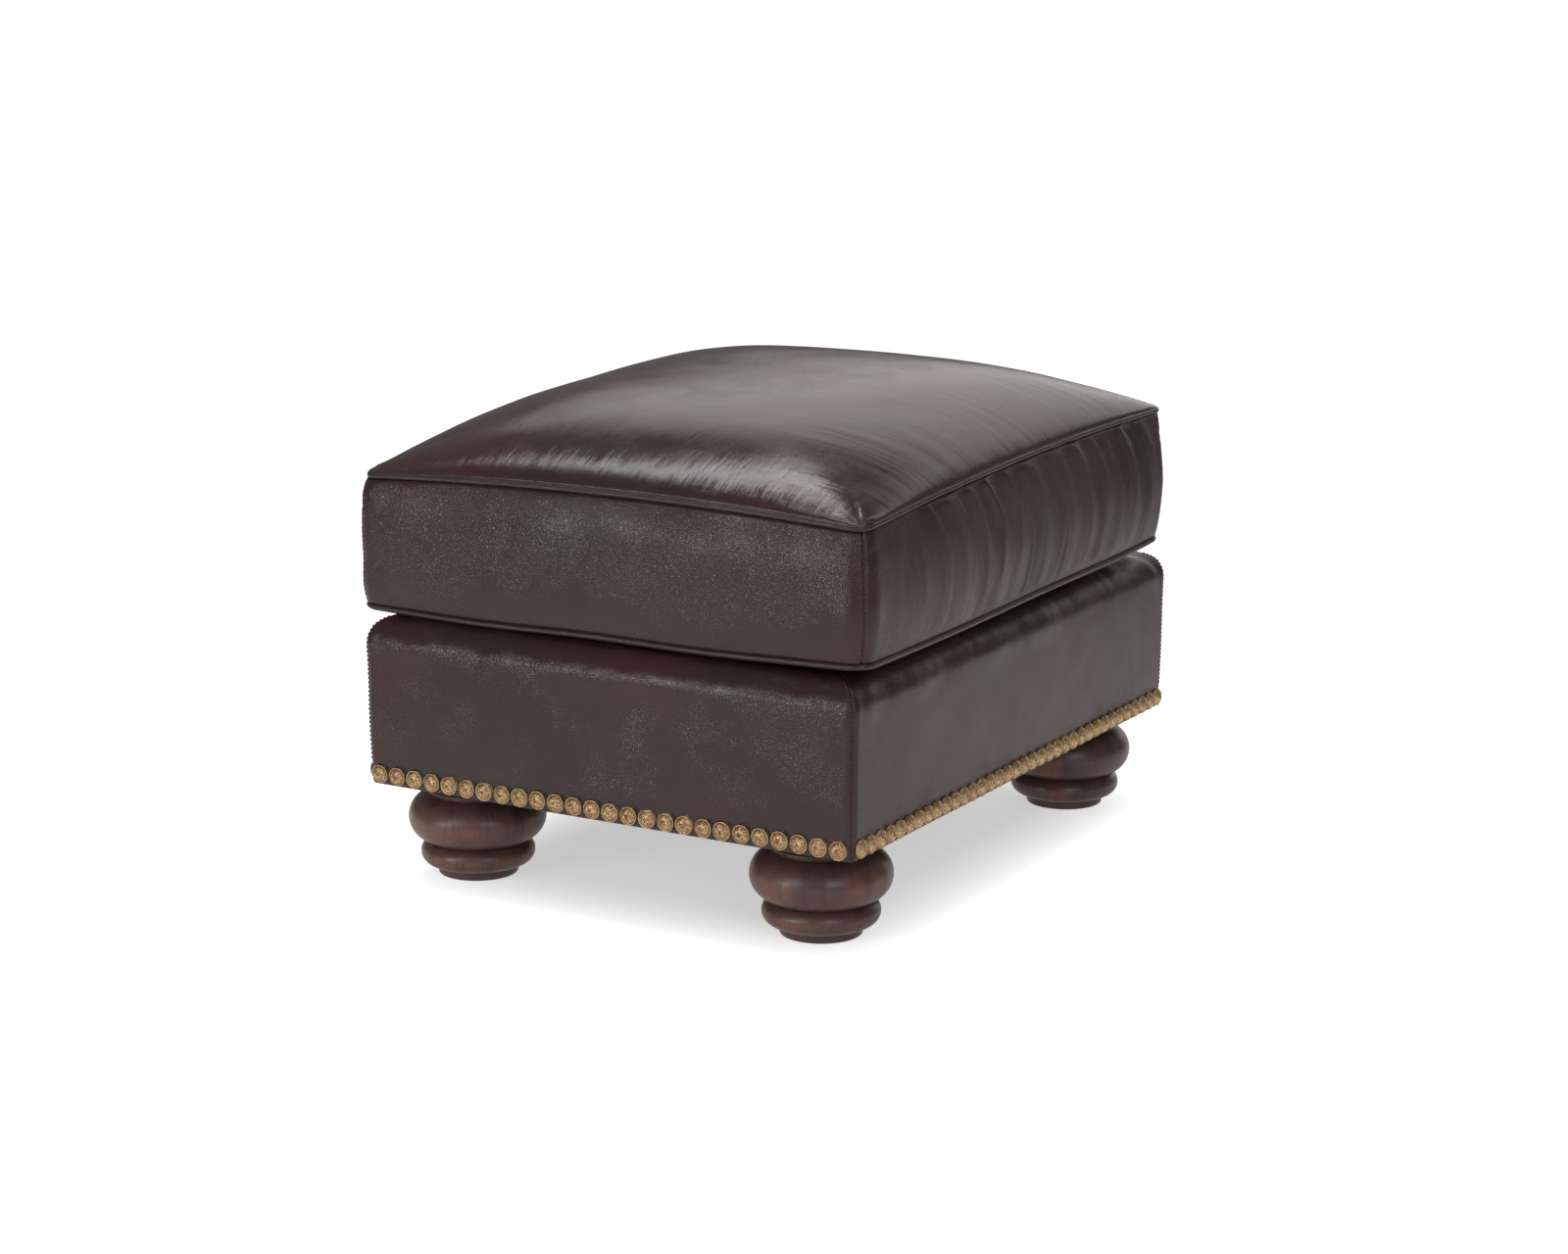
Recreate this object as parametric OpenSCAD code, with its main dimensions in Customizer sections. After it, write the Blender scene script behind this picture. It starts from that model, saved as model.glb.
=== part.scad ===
// Leather ottoman: a nailed, upholstered base on four turned feet with a loose
// boxed cushion on its deck. Millimetres, Z up, the front face on -Y.
// The origin is on the floor under the middle of the base.

/* [Base] */
// Width of the base over its leather, left to right
base_w = 565; // [445:5:765]
// Depth of the base over its leather, front to back
base_d = 697; // [522:5:902]
// Height of the four frame boards
rail_h = 145; // [110:5:200]
// Thickness of the frame boards
rail_t = 22; // [18:1:28]
// Amount by which the hem lies inside the upper edge
hem_in = 2.5; // [0:0.5:5]
// Thickness of the leather everywhere
leather_t = 1.6; // [1.2:0.1:2.4]
// Thickness of the felt padding between boards and leather
pad_t = 6; // [4:1:10]
// Corner radius of the leather base, seen from above
base_r = 12; // [8:1:20]
// Diameter of the stuffed roll along the upper edge
roll_d = 21.6; // [16:0.4:26]
// Width of the leather border that runs in over the deck
border_w = 80; // [50:5:110]

/* [Feet] */
// Distance of each foot's axis from both faces
foot_inset = 80.5; // [78:0.5:100]
// Diameter of the disc on the floor
disc_d = 80.6; // [60:1:92]
// Height of the disc
disc_h = 7; // [4:0.5:12]
// Diameter of the stem above the disc
stem_d = 74.6; // [70:0.2:88]
// Height of the stem
stem_h = 4.6; // [2:0.2:12]
// Diameter of the small bead
bead_d = 114.6; // [104:0.2:124]
// Height of the small bead
bead_h = 22.8; // [18:0.2:28]
// Diameter of the fillet between the beads
fillet_d = 100.6; // [92:0.2:108]
// Diameter of the large bead
bun_d = 139; // [110:1:146]
// Height of the large bead
bun_h = 54; // [40:1:64]
// Diameter of the collar under the frame
collar_d = 104; // [92:1:108]
// Height of the collar with the groove below it
collar_h = 13; // [8:0.5:20]

/* [Nails] */
// Diameter of a nail head
nail_d = 18.6; // [12:0.2:18.8]
// Height of a nail head above the leather
nail_h = 5; // [3:0.5:7]
// Nails along the front and the back
nails_x = 26; // [12:1:28]
// Nails along each side
nails_y = 36; // [16:1:36]
// Height of the nail row above the hem
nail_rise = 11.6; // [9.6:0.2:20]
// Distance of the last nails from the corners
nail_edge = 17.5; // [16:0.5:26]

/* [Cushion] */
// Width of the cushion over its seams
cush_w = 573; // [420:1:760]
// Depth of the cushion over its seams
cush_d = 656; // [480:1:880]
// Corner radius of the cushion
cush_r = 26; // [16:1:40]
// Height between the two welts at the corners
box_h = 139; // [90:1:170]
// Height of the crown above the upper seam
crown_h = 58; // [30:1:90]
// Rise of the upper welt halfway along each side
arch_h = 9; // [0:1:12]
// Lift of the lower welt at the corners
lift_h = 3; // [0:1:8]
// Rise of the lower seam from the middle to the back and to the right
low_tilt = 3; // [0:0.5:4]
// Rise of the upper seam from the middle to the back
tilt_y = 7; // [0:0.5:10]
// Rise of the upper seam from the middle to the right
tilt_x = 2; // [0:0.5:5]
// Place of the cushion on the deck, to the right
cush_x = -3; // [-4:1:4]
// Place of the cushion on the deck, to the back
cush_y = -4; // [-6:1:6]
// Bulge of the cushion's sides
bulge = 8; // [0:1:12]
// Diameter of the welts
welt_d = 8; // [6:0.5:10]
// Depth of the cushion's underside below its lower welt
seat_drop = 5.4; // [4:0.2:10]

/* [Springs] */
// Number of sinuous springs
spring_n = 5; // [3:2:5]
// Distance of the outer springs from the side boards
spring_side = 74.2; // [64:0.2:100]
// Diameter of the spring wire
wire_d = 3.8; // [3:0.2:4.4]

/* [Slide fastener] */
// Length of the fastener's teeth
zip_l = 470; // [300:10:480]
// Length of the pull
pull_l = 24; // [16:1:34]

/* [Hidden] */
$fn = 48;

// Clearances
gap = 0.2;          // between neighbouring soft layers
side_gap = 1.0;     // side wadding behind the boxing
tape_back = 0.8;    // zip tape behind the boxing
hole_play = 0.2;    // a bore over its bolt or dowel
lift_gap = 0.4;     // cushion over the deck
zip_play = 0.3;     // slider round the teeth

// Small thicknesses
cover_t = 0.8;
burlap_t = 0.8;
cloth_t = 0.9;
hem_w = 18;
hem_r = 3;

// Heights of the base
foot_h = disc_h + stem_h + bead_h + bun_h + collar_h;
rail_z = foot_h + cover_t;
hem_z = rail_z - gap - leather_t;
rail_top = rail_z + rail_h;
roll_r = roll_d / 2;
edge_r = roll_d / 2 + 9.2;
roll_z = rail_top + burlap_t + gap + roll_r;
roll_off = (edge_r - leather_t - roll_r - 0.45) / sqrt(2);
roll_in = edge_r - roll_off;
edge_z = roll_z - roll_off;
deck_z = edge_z + edge_r;
cloth_z = deck_z - leather_t - cloth_t - 0.1;

// Plan sizes of the base
bx = base_w / 2;
by = base_d / 2;
rail_in = hem_in + leather_t + pad_t + gap;
inner_in = rail_in + rail_t;
pad_in = roll_in + roll_r + 0.3;

// Corner blocks, posts, bolts
block_h = 28;
block_l = 100;
block_cut = 50;
post_w = 36;
bolt_d = 8;
bolt_down = 40;
nut_d = 10;
nut_h = 11;
flange_d = 20;
flange_t = 1.6;
dowel_d = 8;
dowel_l = 30;

// Springs
spring_z = rail_top - 12;
spring_amp = 22;
spring_half = by - inner_in;
spring_pitch = 2 * (bx - inner_in - spring_side) / (spring_n - 1);
spring_steps = 26;
tie_d = 3;
clip = [28, 10, 8];

// Nails
nail_z = hem_z + nail_rise;
shank_d = 2.4;
shank_l = 13.4;
head_r = (nail_d * nail_d / 4 + nail_h * nail_h) / (2 * nail_h);

// Cushion
cx = cush_w / 2;
cy = cush_d / 2;
welt_r = welt_d / 2;
wr = welt_r + gap;
fill_in = leather_t + gap;
wrap_in = 12;
rest_z = deck_z + lift_gap;
low_z = rest_z + seat_drop + wr;
top_z = low_z + box_h;
crown_n = 3;
crown_m = 0.68;
wrap_t = 15;
core_dish = 8;
mid_z = (low_z + top_z + tilt_y) / 2;

// Slide fastener in the back
slot_h = 8;
tape_h = 13;
tape_t = 0.8;
tape_end = 8;
teeth_h = 5;
teeth_t = 1.5;
zip_y = cush_y + cy + bulge - leather_t - tape_back;
slider_l = 14;
slider_x = cush_x + zip_l / 2 - slider_l / 2 - 2;
pull_w = 8;
pull_t = 1.2;
pin_d = 1.6;

// Perimeter positions, from -1 to 1 along one side
function knots(k) = [-1, -1 + 0.4 * k, -1 + k, -0.8 * (1 - k), -0.58 * (1 - k), -0.32 * (1 - k), 0,
  0.32 * (1 - k), 0.58 * (1 - k), 0.8 * (1 - k), 1 - k, 1 - 0.4 * k, 1];
function few(k) = [-1, -1 + 0.4 * k, -1 + k, 1 - k, 1 - 0.4 * k, 1];
gx = knots(cush_r / cx);
gy = knots(cush_r / cy);
hx = few(base_r / bx);
hy = few(base_r / by);

// Point of a rounded rectangle with half sizes ax, ay and corner radius r
function rim(p, q, ax, ay, r) =
  let (x = p * ax, y = q * ay, u = abs(x) - ax + r, v = abs(y) - ay + r)
  (u > 0 && v > 0) ? [sign(x) * (ax - r + r * u / norm([u, v])), sign(y) * (ay - r + r * v / norm([u, v]))]
  : [x, y];

// Point of the cushion's plan, inset by k, at grid position p, q
function plan(p, q, k) =
  let (s = max(abs(p), abs(q)))
  [cush_x, cush_y] + (s == 0 ? [0, 0] : s * rim(p / s, q / s, cx - k, cy - k, cush_r - k));

// Point of the base's plan, inset by k
function base_rim(p, q, k) = rim(p, q, bx - k, by - k, max(base_r - k, 0.8));

// Heights of the cushion's seams and faces
function dome(p, q) = pow(max(0, (1 - pow(abs(p), crown_n)) * (1 - pow(abs(q), crown_n))), crown_m);
function flat(p, q) = pow(max(0, (1 - pow(abs(p), 6)) * (1 - pow(abs(q), 6))), 0.6);
function seam_up(p, q) = top_z + arch_h * (1 - p * p * q * q) + tilt_x * p + tilt_y * q;
function seam_low(p, q) = low_z + lift_h * pow(abs(p * q), 6) + low_tilt * (p + q);
function under(p, q, t) = let (e = seam_low(p, q) - wr) e - (e - rest_z - t) * flat(p, q);
function swell(z, p, q) =
  let (v = (z - seam_low(p, q)) / (seam_up(p, q) - seam_low(p, q)))
  bulge * 4 * v * (1 - v);

// Solid through a list of sections with the same number of points each
module loft(g, loop = false) {
  n = len(g);
  m = len(g[0]);
  walls = [for (i = [0 : n - (loop ? 1 : 2)]) for (j = [0 : m - 1])
    let (a = i * m + j, b = i * m + (j + 1) % m, c = ((i + 1) % n) * m + (j + 1) % m, d = ((i + 1) % n) * m + j)
    each (2 * j < m - 1 ? [[a, b, c], [a, c, d]] : [[a, b, d], [b, c, d]])];
  start = [for (j = [0 : m / 2 - 2]) each [[j, m - 1 - j, j + 1], [m - 1 - j, m - 2 - j, j + 1]]];
  e = (n - 1) * m;
  end = [for (f = start) [f[2] + e, f[1] + e, f[0] + e]];
  polyhedron(points = [for (s = g) each s], faces = loop ? walls : concat(walls, start, end));
}

// Sheet between an outer and an inner face over the cushion's grid
module quilt(ku, ki, up, zu, zi) {
  loft([for (p = gx) concat(
    [for (q = gy) let (a = plan(p, q, ku)) [a[0], up ? a[1] : -a[1], zu(p, q)]],
    [for (j = [len(gy) - 1 : -1 : 0]) let (q = gy[j], a = plan(p, q, ki)) [a[0], up ? a[1] : -a[1], zi(p, q)]])]);
}

// The four sides as lists of grid positions, counter-clockwise from the front left
function side(name, kx, ky) =
  name == "front" ? [for (p = kx) [p, -1]]
  : name == "right" ? [for (q = ky) [1, q]]
  : name == "back" ? [for (i = [len(kx) - 1 : -1 : 0]) [kx[i], 1]]
  : [for (i = [len(ky) - 1 : -1 : 0]) [-1, ky[i]]];
function round_trip(kx, ky) = [for (s = ["front", "right", "back", "left"])
  let (l = side(s, kx, ky)) for (i = [0 : len(l) - 2]) l[i]];

// Frame boards
module rail_long(s) {
  difference() {
    translate([-bx + rail_in, s > 0 ? by - inner_in : -by + rail_in, rail_z])
      cube([base_w - 2 * rail_in, rail_t, rail_h]);
    dowel_holes(s);
  }
}
module rail_short(s) {
  difference() {
    translate([s > 0 ? bx - inner_in : -bx + rail_in, -by + inner_in, rail_z])
      cube([rail_t, base_d - 2 * inner_in, rail_h]);
    dowel_holes(1);
    dowel_holes(-1);
  }
}
module dowel_at(s, d, l) {
  for (sx = [-1, 1], k = [0.25, 0.75])
    translate([sx * (bx - rail_in - rail_t / 2), s * (by - inner_in) - l / 2, rail_z + k * rail_h])
      rotate([-90, 0, 0]) cylinder(d = d, h = l);
}
module dowel_holes(s) {
  dowel_at(s, dowel_d + hole_play, dowel_l + 1);
}
module rail_front() { color("BurlyWood") rail_long(-1); }
module rail_back() { color("BurlyWood") rail_long(1); }
module rail_left() { color("BurlyWood") rail_short(-1); }
module rail_right() { color("BurlyWood") rail_short(1); }
module dowels() {
  color("Tan") for (s = [-1, 1]) dowel_at(s, dowel_d, dowel_l);
}

// Posts and foot blocks in the corners
module post(sx, sy) {
  color("Wheat")
    translate([sx * (bx - inner_in - post_w / 2) - post_w / 2, sy * (by - inner_in - post_w / 2) - post_w / 2,
      rail_z + block_h])
      cube([post_w, post_w, rail_h - block_h]);
}
module block(sx, sy) {
  color("Wheat") difference() {
    translate([sx * (bx - inner_in), sy * (by - inner_in), rail_z])
      linear_extrude(block_h)
        polygon([[0, 0], [-sx * block_l, 0], [-sx * block_l, -sy * block_cut], [-sx * block_cut, -sy * block_l],
          [0, -sy * block_l]]);
    translate([sx * (bx - foot_inset), sy * (by - foot_inset), rail_z - 1])
      cylinder(d = bolt_d + 2 * hole_play, h = block_h + 2);
    translate([sx * (bx - foot_inset), sy * (by - foot_inset), rail_z + block_h - nut_h])
      cylinder(d = nut_d + hole_play, h = nut_h + 1);
  }
}
module post_front_left() { post(-1, -1); }
module post_front_right() { post(1, -1); }
module post_back_left() { post(-1, 1); }
module post_back_right() { post(1, 1); }
module block_front_left() { block(-1, -1); }
module block_front_right() { block(1, -1); }
module block_back_left() { block(-1, 1); }
module block_back_right() { block(1, 1); }

// Inset of the leather's face at height z
function face_in(z) = hem_in * (edge_z - z) / (edge_z - hem_z - hem_r);

// Felt round the boards
module side_padding() {
  low = hem_z + hem_r + 1;
  skin = leather_t + gap;
  loop = [[skin + face_in(low), low], [skin + face_in(rail_top), rail_top], [rail_in - gap, rail_top], [rail_in - gap, low]];
  color("LightGray") loft([for (c = round_trip(hx, hy)) [for (i = [0 : 3])
    let (v = loop[i], a = i < 2 ? base_rim(c[0], c[1], v[0]) : rim(c[0], c[1], bx - v[0], by - v[0], 0.01))
    [a[0], a[1], v[1]]]], true);
}

// Leather of the base: one section as inset and height, hem to border
function panel_out() = concat([[hem_in + hem_w, hem_z], [hem_in + hem_r, hem_z], [hem_in, hem_z + hem_r]],
  [for (t = [0 : 22.5 : 90]) [edge_r - edge_r * cos(t), edge_z + edge_r * sin(t)]], [[border_w, deck_z]]);
function panel_in() = concat([[hem_in + hem_w, hem_z + leather_t], [hem_in + hem_r + 0.4, hem_z + leather_t],
  [hem_in + leather_t, hem_z + hem_r + 0.4]], [for (t = [0 : 22.5 : 90])
  let (r = edge_r - leather_t) [edge_r - r * cos(t), edge_z + r * sin(t)]], [[border_w, deck_z - leather_t]]);
module panel(name) {
  o = panel_out();
  i = panel_in();
  loop = concat(o, [for (k = [len(i) - 1 : -1 : 0]) i[k]]);
  color("SaddleBrown")
    loft([for (c = side(name, hx, hy)) [for (v = loop) let (a = base_rim(c[0], c[1], v[0])) [a[0], a[1], v[1]]]]);
}
module panel_front() { panel("front"); }
module panel_back() { panel("back"); }
module panel_left() { panel("left"); }
module panel_right() { panel("right"); }

// Stuffed roll along the upper edge of the frame
module edge_roll() {
  color("Khaki") loft([for (c = round_trip(hx, hy)) [for (t = [0 : 45 : 315])
    let (k = roll_in - roll_r * cos(t), a = rim(c[0], c[1], bx - k, by - k, max(0.8, 3 + roll_r * cos(t))))
    [a[0], a[1], roll_z + roll_r * sin(t)]]], true);
}

// Sinuous spring across the frame
module spring(k) {
  x0 = (k - (spring_n + 1) / 2) * spring_pitch;
  step = 2 * spring_half / spring_steps;
  wide = norm([2 * spring_amp, step]) / step;
  if (k <= spring_n) color("DimGray")
    loft([for (i = [0 : spring_steps])
      let (x = (i == 0 || i == spring_steps) ? x0 : x0 + (i % 2 == 0 ? spring_amp : -spring_amp))
      [for (t = [0 : 60 : 300])
        [x + wide * wire_d / 2 * cos(t), -spring_half + i * step, spring_z + wire_d / 2 * sin(t)]]]);
}
module spring_1() { spring(1); }
module spring_2() { spring(2); }
module spring_3() { spring(3); }
module spring_4() { spring(4); }
module spring_5() { spring(5); }
module spring_clips() {
  color("Silver") for (k = [1 : spring_n], s = [-1, 1])
    translate([(k - (spring_n + 1) / 2) * spring_pitch - clip[0] / 2, s * (spring_half - clip[1] / 2) - clip[1] / 2,
      spring_z - clip[2] / 2])
      cube(clip);
}
module tie_wires() {
  color("Gray") for (s = [-1, 1])
    translate([-bx + inner_in, s * by / 3, spring_z + wire_d / 2 + tie_d / 2])
      rotate([0, 90, 0]) cylinder(d = tie_d, h = base_w - 2 * inner_in);
}

// Deck
module slab(inset, z, t) {
  translate([-bx + inset, -by + inset, z]) cube([base_w - 2 * inset, base_d - 2 * inset, t]);
}
module burlap() { color("Peru") slab(rail_in + 0.4, rail_top, burlap_t); }
module deck_pad() {
  pad_z = rail_top + burlap_t;
  color("Ivory") slab(pad_in, pad_z, cloth_z - pad_z - gap / 2);
}
module deck_cloth() { color("DarkSlateGray") slab(border_w - 10, cloth_z, cloth_t); }

// Cloth under the frame
module dust_cover() {
  color("DimGray") difference() {
    slab(hem_in + hem_w + gap, foot_h, cover_t);
    for (sx = [-1, 1], sy = [-1, 1])
      translate([sx * (bx - foot_inset), sy * (by - foot_inset), foot_h - 1])
        cylinder(d = bolt_d + 2 * hole_play, h = cover_t + 2);
  }
}
staple = [10, 1, 0.6];
staple_leg = 6;
staple_pitch = 60;
staple_end = 130;
module staple_at() {
  translate([-staple[0] / 2, -staple[1] / 2, -staple[2]]) cube(staple);
  for (s = [-1, 1])
    translate([s * (staple[0] - staple[1]) / 2 - staple[1] / 2, -staple[1] / 2, -staple[2] / 2])
      cube([staple[1], staple[1], staple_leg]);
}
module staples() {
  row_in = hem_in + hem_w + gap + 4;
  nx = floor((bx - staple_end) / staple_pitch);
  ny = floor((by - staple_end) / staple_pitch);
  color("Silver") for (s = [-1, 1]) {
    for (i = [-nx : nx]) translate([i * staple_pitch, s * (by - row_in), foot_h]) staple_at();
    for (i = [-ny : ny])
      translate([s * (bx - row_in), i * staple_pitch, foot_h]) rotate([0, 0, 90]) staple_at();
  }
}

// One nail with its head on the leather at y = 0, looking to -Y
module nail() {
  intersection() {
    translate([0, head_r - nail_h, 0]) sphere(r = head_r);
    rotate([90, 0, 0]) cylinder(r = head_r, h = nail_h + 1);
  }
  translate([0, -0.5, 0]) rotate([-90, 0, 0]) cylinder(d = shank_d, h = shank_l + 0.5);
}
module nails_front() {
  step = (base_w - 2 * nail_edge) / (nails_x - 1);
  color("Goldenrod") for (i = [0 : nails_x - 1])
    translate([-bx + nail_edge + i * step, -by + face_in(nail_z), nail_z]) nail();
}
module nails_back() { rotate([0, 0, 180]) nails_front(); }
module nails_right() {
  step = (base_d - 2 * nail_edge) / (nails_y - 1);
  color("Goldenrod") for (i = [0 : nails_y - 1])
    translate([bx - face_in(nail_z), -by + nail_edge + i * step, nail_z]) rotate([0, 0, 90]) nail();
}
module nails_left() { rotate([0, 0, 180]) nails_right(); }

// Turned foot
bead_z = disc_h + stem_h + bead_h / 2;
bun_z = disc_h + stem_h + bead_h + bun_h / 2;
groove_h = 2;
groove_in = 4;
module ring(d, r, z) {
  rotate_extrude() translate([d / 2 - r, z]) circle(r = r);
}
module foot(sx, sy) {
  color("SaddleBrown") translate([sx * (bx - foot_inset), sy * (by - foot_inset), 0]) difference() {
    union() {
      cylinder(d = disc_d, h = disc_h);
      translate([0, 0, disc_h - 1]) cylinder(d = stem_d, h = bead_z - disc_h + 2);
      ring(bead_d, bead_h / 2, bead_z);
      translate([0, 0, bead_z]) cylinder(d = fillet_d, h = bun_z - bead_z);
      ring(bun_d, bun_h / 2, bun_z);
      translate([0, 0, bun_z]) cylinder(d = collar_d - 2 * groove_in, h = foot_h - bun_z - 1);
      translate([0, 0, foot_h - collar_h + groove_h]) cylinder(d = collar_d, h = collar_h - groove_h);
    }
    translate([0, 0, foot_h - bolt_down - 1]) cylinder(d = bolt_d + hole_play, h = bolt_down + 2);
  }
}
module foot_front_left() { foot(-1, -1); }
module foot_front_right() { foot(1, -1); }
module foot_back_left() { foot(-1, 1); }
module foot_back_right() { foot(1, 1); }
module at_feet() {
  for (sx = [-1, 1], sy = [-1, 1]) translate([sx * (bx - foot_inset), sy * (by - foot_inset), 0]) children();
}
module hanger_bolts() {
  top = rail_z + block_h + flange_t + 5;
  color("Silver") at_feet() translate([0, 0, foot_h - bolt_down])
    cylinder(d = bolt_d, h = top - foot_h + bolt_down);
}
module tee_nuts() {
  z = rail_z + block_h;
  color("Gray") at_feet() difference() {
    union() {
      translate([0, 0, z - nut_h]) cylinder(d = nut_d, h = nut_h + 0.5);
      translate([0, 0, z]) cylinder(d = flange_d, h = flange_t);
    }
    translate([0, 0, z - nut_h - 1]) cylinder(d = bolt_d + hole_play, h = nut_h + flange_t + 2);
  }
}

// Filling of the cushion
module cushion_core() {
  k = fill_in + wrap_in;
  color("Moccasin") quilt(k, k, true,
    function (p, q) seam_up(p, q) + wr - gap + (crown_h - fill_in - wrap_t) * dome(p, q),
    function (p, q) seam_low(p, q) - wr + gap + core_dish * flat(p, q));
}
module wrap_top() {
  color("WhiteSmoke") quilt(fill_in, fill_in + wrap_in, true,
    function (p, q) seam_up(p, q) + wr + (crown_h - fill_in) * dome(p, q),
    function (p, q) seam_up(p, q) + wr + (crown_h - fill_in - wrap_t) * dome(p, q));
}
module wrap_bottom() {
  color("WhiteSmoke") quilt(fill_in + wrap_in, fill_in, true,
    function (p, q) seam_low(p, q) - wr + core_dish * flat(p, q),
    function (p, q) under(p, q, fill_in));
}
levels = [0, 0.2, 0.5, 0.8, 1];
function box_z(c, v) = let (a = seam_low(c[0], c[1]) + wr, b = seam_up(c[0], c[1]) - wr) a + v * (b - a);
module wrap_side() {
  color("WhiteSmoke") loft([for (c = round_trip(gx, gy)) concat(
    [for (v = levels) let (z = box_z(c, v), a = plan(c[0], c[1], leather_t + side_gap - swell(z, c[0], c[1]))) [a[0], a[1], z]],
    [for (v = [1, 0]) let (a = plan(c[0], c[1], fill_in + wrap_in - gap)) [a[0], a[1], box_z(c, v)]])], true);
}

// Leather of the cushion
module cover_top() {
  color("Sienna") quilt(0, leather_t, true,
    function (p, q) seam_up(p, q) + wr + crown_h * dome(p, q),
    function (p, q) seam_up(p, q) + wr + (crown_h - leather_t) * dome(p, q));
}
module cover_bottom() {
  color("Sienna") quilt(leather_t, 0, true,
    function (p, q) under(p, q, leather_t),
    function (p, q) under(p, q, 0));
}
module box_strip(name, zs) {
  color("Sienna") loft([for (c = side(name, gx, gy)) let (l = zs(c)) concat(
    [for (z = l) let (a = plan(c[0], c[1], -swell(z, c[0], c[1]))) [a[0], a[1], z]],
    [for (j = [len(l) - 1 : -1 : 0]) let (z = l[j], a = plan(c[0], c[1], leather_t - swell(z, c[0], c[1])))
      [a[0], a[1], z]])]);
}
module boxing_front() { box_strip("front", function (c) [for (v = levels) box_z(c, v)]); }
module boxing_left() { box_strip("left", function (c) [for (v = levels) box_z(c, v)]); }
module boxing_right() { box_strip("right", function (c) [for (v = levels) box_z(c, v)]); }
module zip_boxing_upper() {
  box_strip("back", function (c) [mid_z + slot_h, mid_z + tape_h, box_z(c, 0.8), box_z(c, 1)]);
}
module zip_boxing_lower() {
  box_strip("back", function (c) [box_z(c, 0), box_z(c, 0.2), mid_z - tape_h, mid_z - slot_h]);
}
module welt(z) {
  color("Sienna") loft([for (c = round_trip(gx, gy)) [for (t = [0 : 45 : 315])
    let (a = plan(c[0], c[1], 1 - welt_r * cos(t))) [a[0], a[1], z(c) + welt_r * sin(t)]]], true);
}
module welt_top() { welt(function (c) seam_up(c[0], c[1])); }
module welt_bottom() { welt(function (c) seam_low(c[0], c[1])); }

// Slide fastener: tape, teeth, slider and pull
module zip_tape() {
  color("DarkSlateGray") translate([cush_x - zip_l / 2 - tape_end, zip_y - tape_t, mid_z - tape_h])
    cube([zip_l + 2 * tape_end, tape_t, 2 * tape_h]);
}
module zip_teeth() {
  color("Silver") translate([cush_x - zip_l / 2, zip_y, mid_z - teeth_h / 2]) cube([zip_l, teeth_t, teeth_h]);
}
module zip_slider() {
  y0 = zip_y + teeth_t + zip_play;
  lip = 1.2;
  half = teeth_h / 2 + zip_play;
  color("Silver") translate([slider_x, 0, mid_z]) {
    translate([-slider_l / 2, y0, -half - lip]) cube([slider_l, 2, 2 * (half + lip)]);
    for (s = [-1, 1])
      translate([-slider_l / 2, y0 - teeth_t, s * (half + lip / 2) - lip / 2]) cube([slider_l, teeth_t + 0.5, lip]);
    for (s = [-1, 1]) translate([-2.5, y0 + 1.5, s * 3.4 - 0.6]) cube([5, 4.5, 1.2]);
    translate([0, y0 + 4.2, -3.4]) cylinder(d = pin_d, h = 6.8);
  }
}
module zip_pull() {
  y0 = zip_y + teeth_t + zip_play + 4.2;
  color("Gray") translate([slider_x, y0, mid_z]) difference() {
    union() {
      translate([0, 0, -2.5]) cylinder(d = pin_d + 2.6, h = 5);
      translate([1.2, -pull_t / 2, -2.5]) cube([5, pull_t, 5]);
      translate([4, -pull_t / 2, -pull_w / 2]) cube([pull_l - 4, pull_t, pull_w]);
    }
    translate([0, 0, -4]) cylinder(d = pin_d + 2 * hole_play, h = 8);
    translate([pull_l - 4, -2, 0]) rotate([-90, 0, 0]) cylinder(d = 3.4, h = 4);
  }
}

rail_front();
rail_back();
rail_left();
rail_right();
post_front_left();
post_front_right();
post_back_left();
post_back_right();
block_front_left();
block_front_right();
block_back_left();
block_back_right();
dowels();
side_padding();
panel_front();
panel_back();
panel_left();
panel_right();
edge_roll();
spring_1();
spring_2();
spring_3();
spring_4();
spring_5();
spring_clips();
tie_wires();
burlap();
deck_pad();
deck_cloth();
dust_cover();
staples();
nails_front();
nails_back();
nails_left();
nails_right();
foot_front_left();
foot_front_right();
foot_back_left();
foot_back_right();
hanger_bolts();
tee_nuts();
cushion_core();
wrap_top();
wrap_side();
wrap_bottom();
cover_top();
cover_bottom();
boxing_front();
boxing_left();
boxing_right();
zip_boxing_upper();
zip_boxing_lower();
welt_top();
welt_bottom();
zip_tape();
zip_teeth();
zip_slider();
zip_pull();
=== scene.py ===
import math
import bpy
import numpy as np
from mathutils import Matrix


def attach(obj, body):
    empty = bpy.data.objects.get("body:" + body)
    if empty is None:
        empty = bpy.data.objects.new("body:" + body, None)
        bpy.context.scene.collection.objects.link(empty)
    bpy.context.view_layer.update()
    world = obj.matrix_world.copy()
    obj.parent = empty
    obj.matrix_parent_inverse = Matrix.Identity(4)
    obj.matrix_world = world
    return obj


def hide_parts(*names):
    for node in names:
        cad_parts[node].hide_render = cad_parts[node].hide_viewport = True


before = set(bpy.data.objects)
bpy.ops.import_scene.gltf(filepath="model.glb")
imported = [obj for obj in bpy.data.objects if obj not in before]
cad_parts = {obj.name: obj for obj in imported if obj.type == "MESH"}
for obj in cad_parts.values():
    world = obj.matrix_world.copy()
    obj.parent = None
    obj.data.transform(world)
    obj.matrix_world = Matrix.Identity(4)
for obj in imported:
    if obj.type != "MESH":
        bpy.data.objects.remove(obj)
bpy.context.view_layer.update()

scene = bpy.context.scene
scene.view_settings.view_transform = "Standard"

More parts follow.
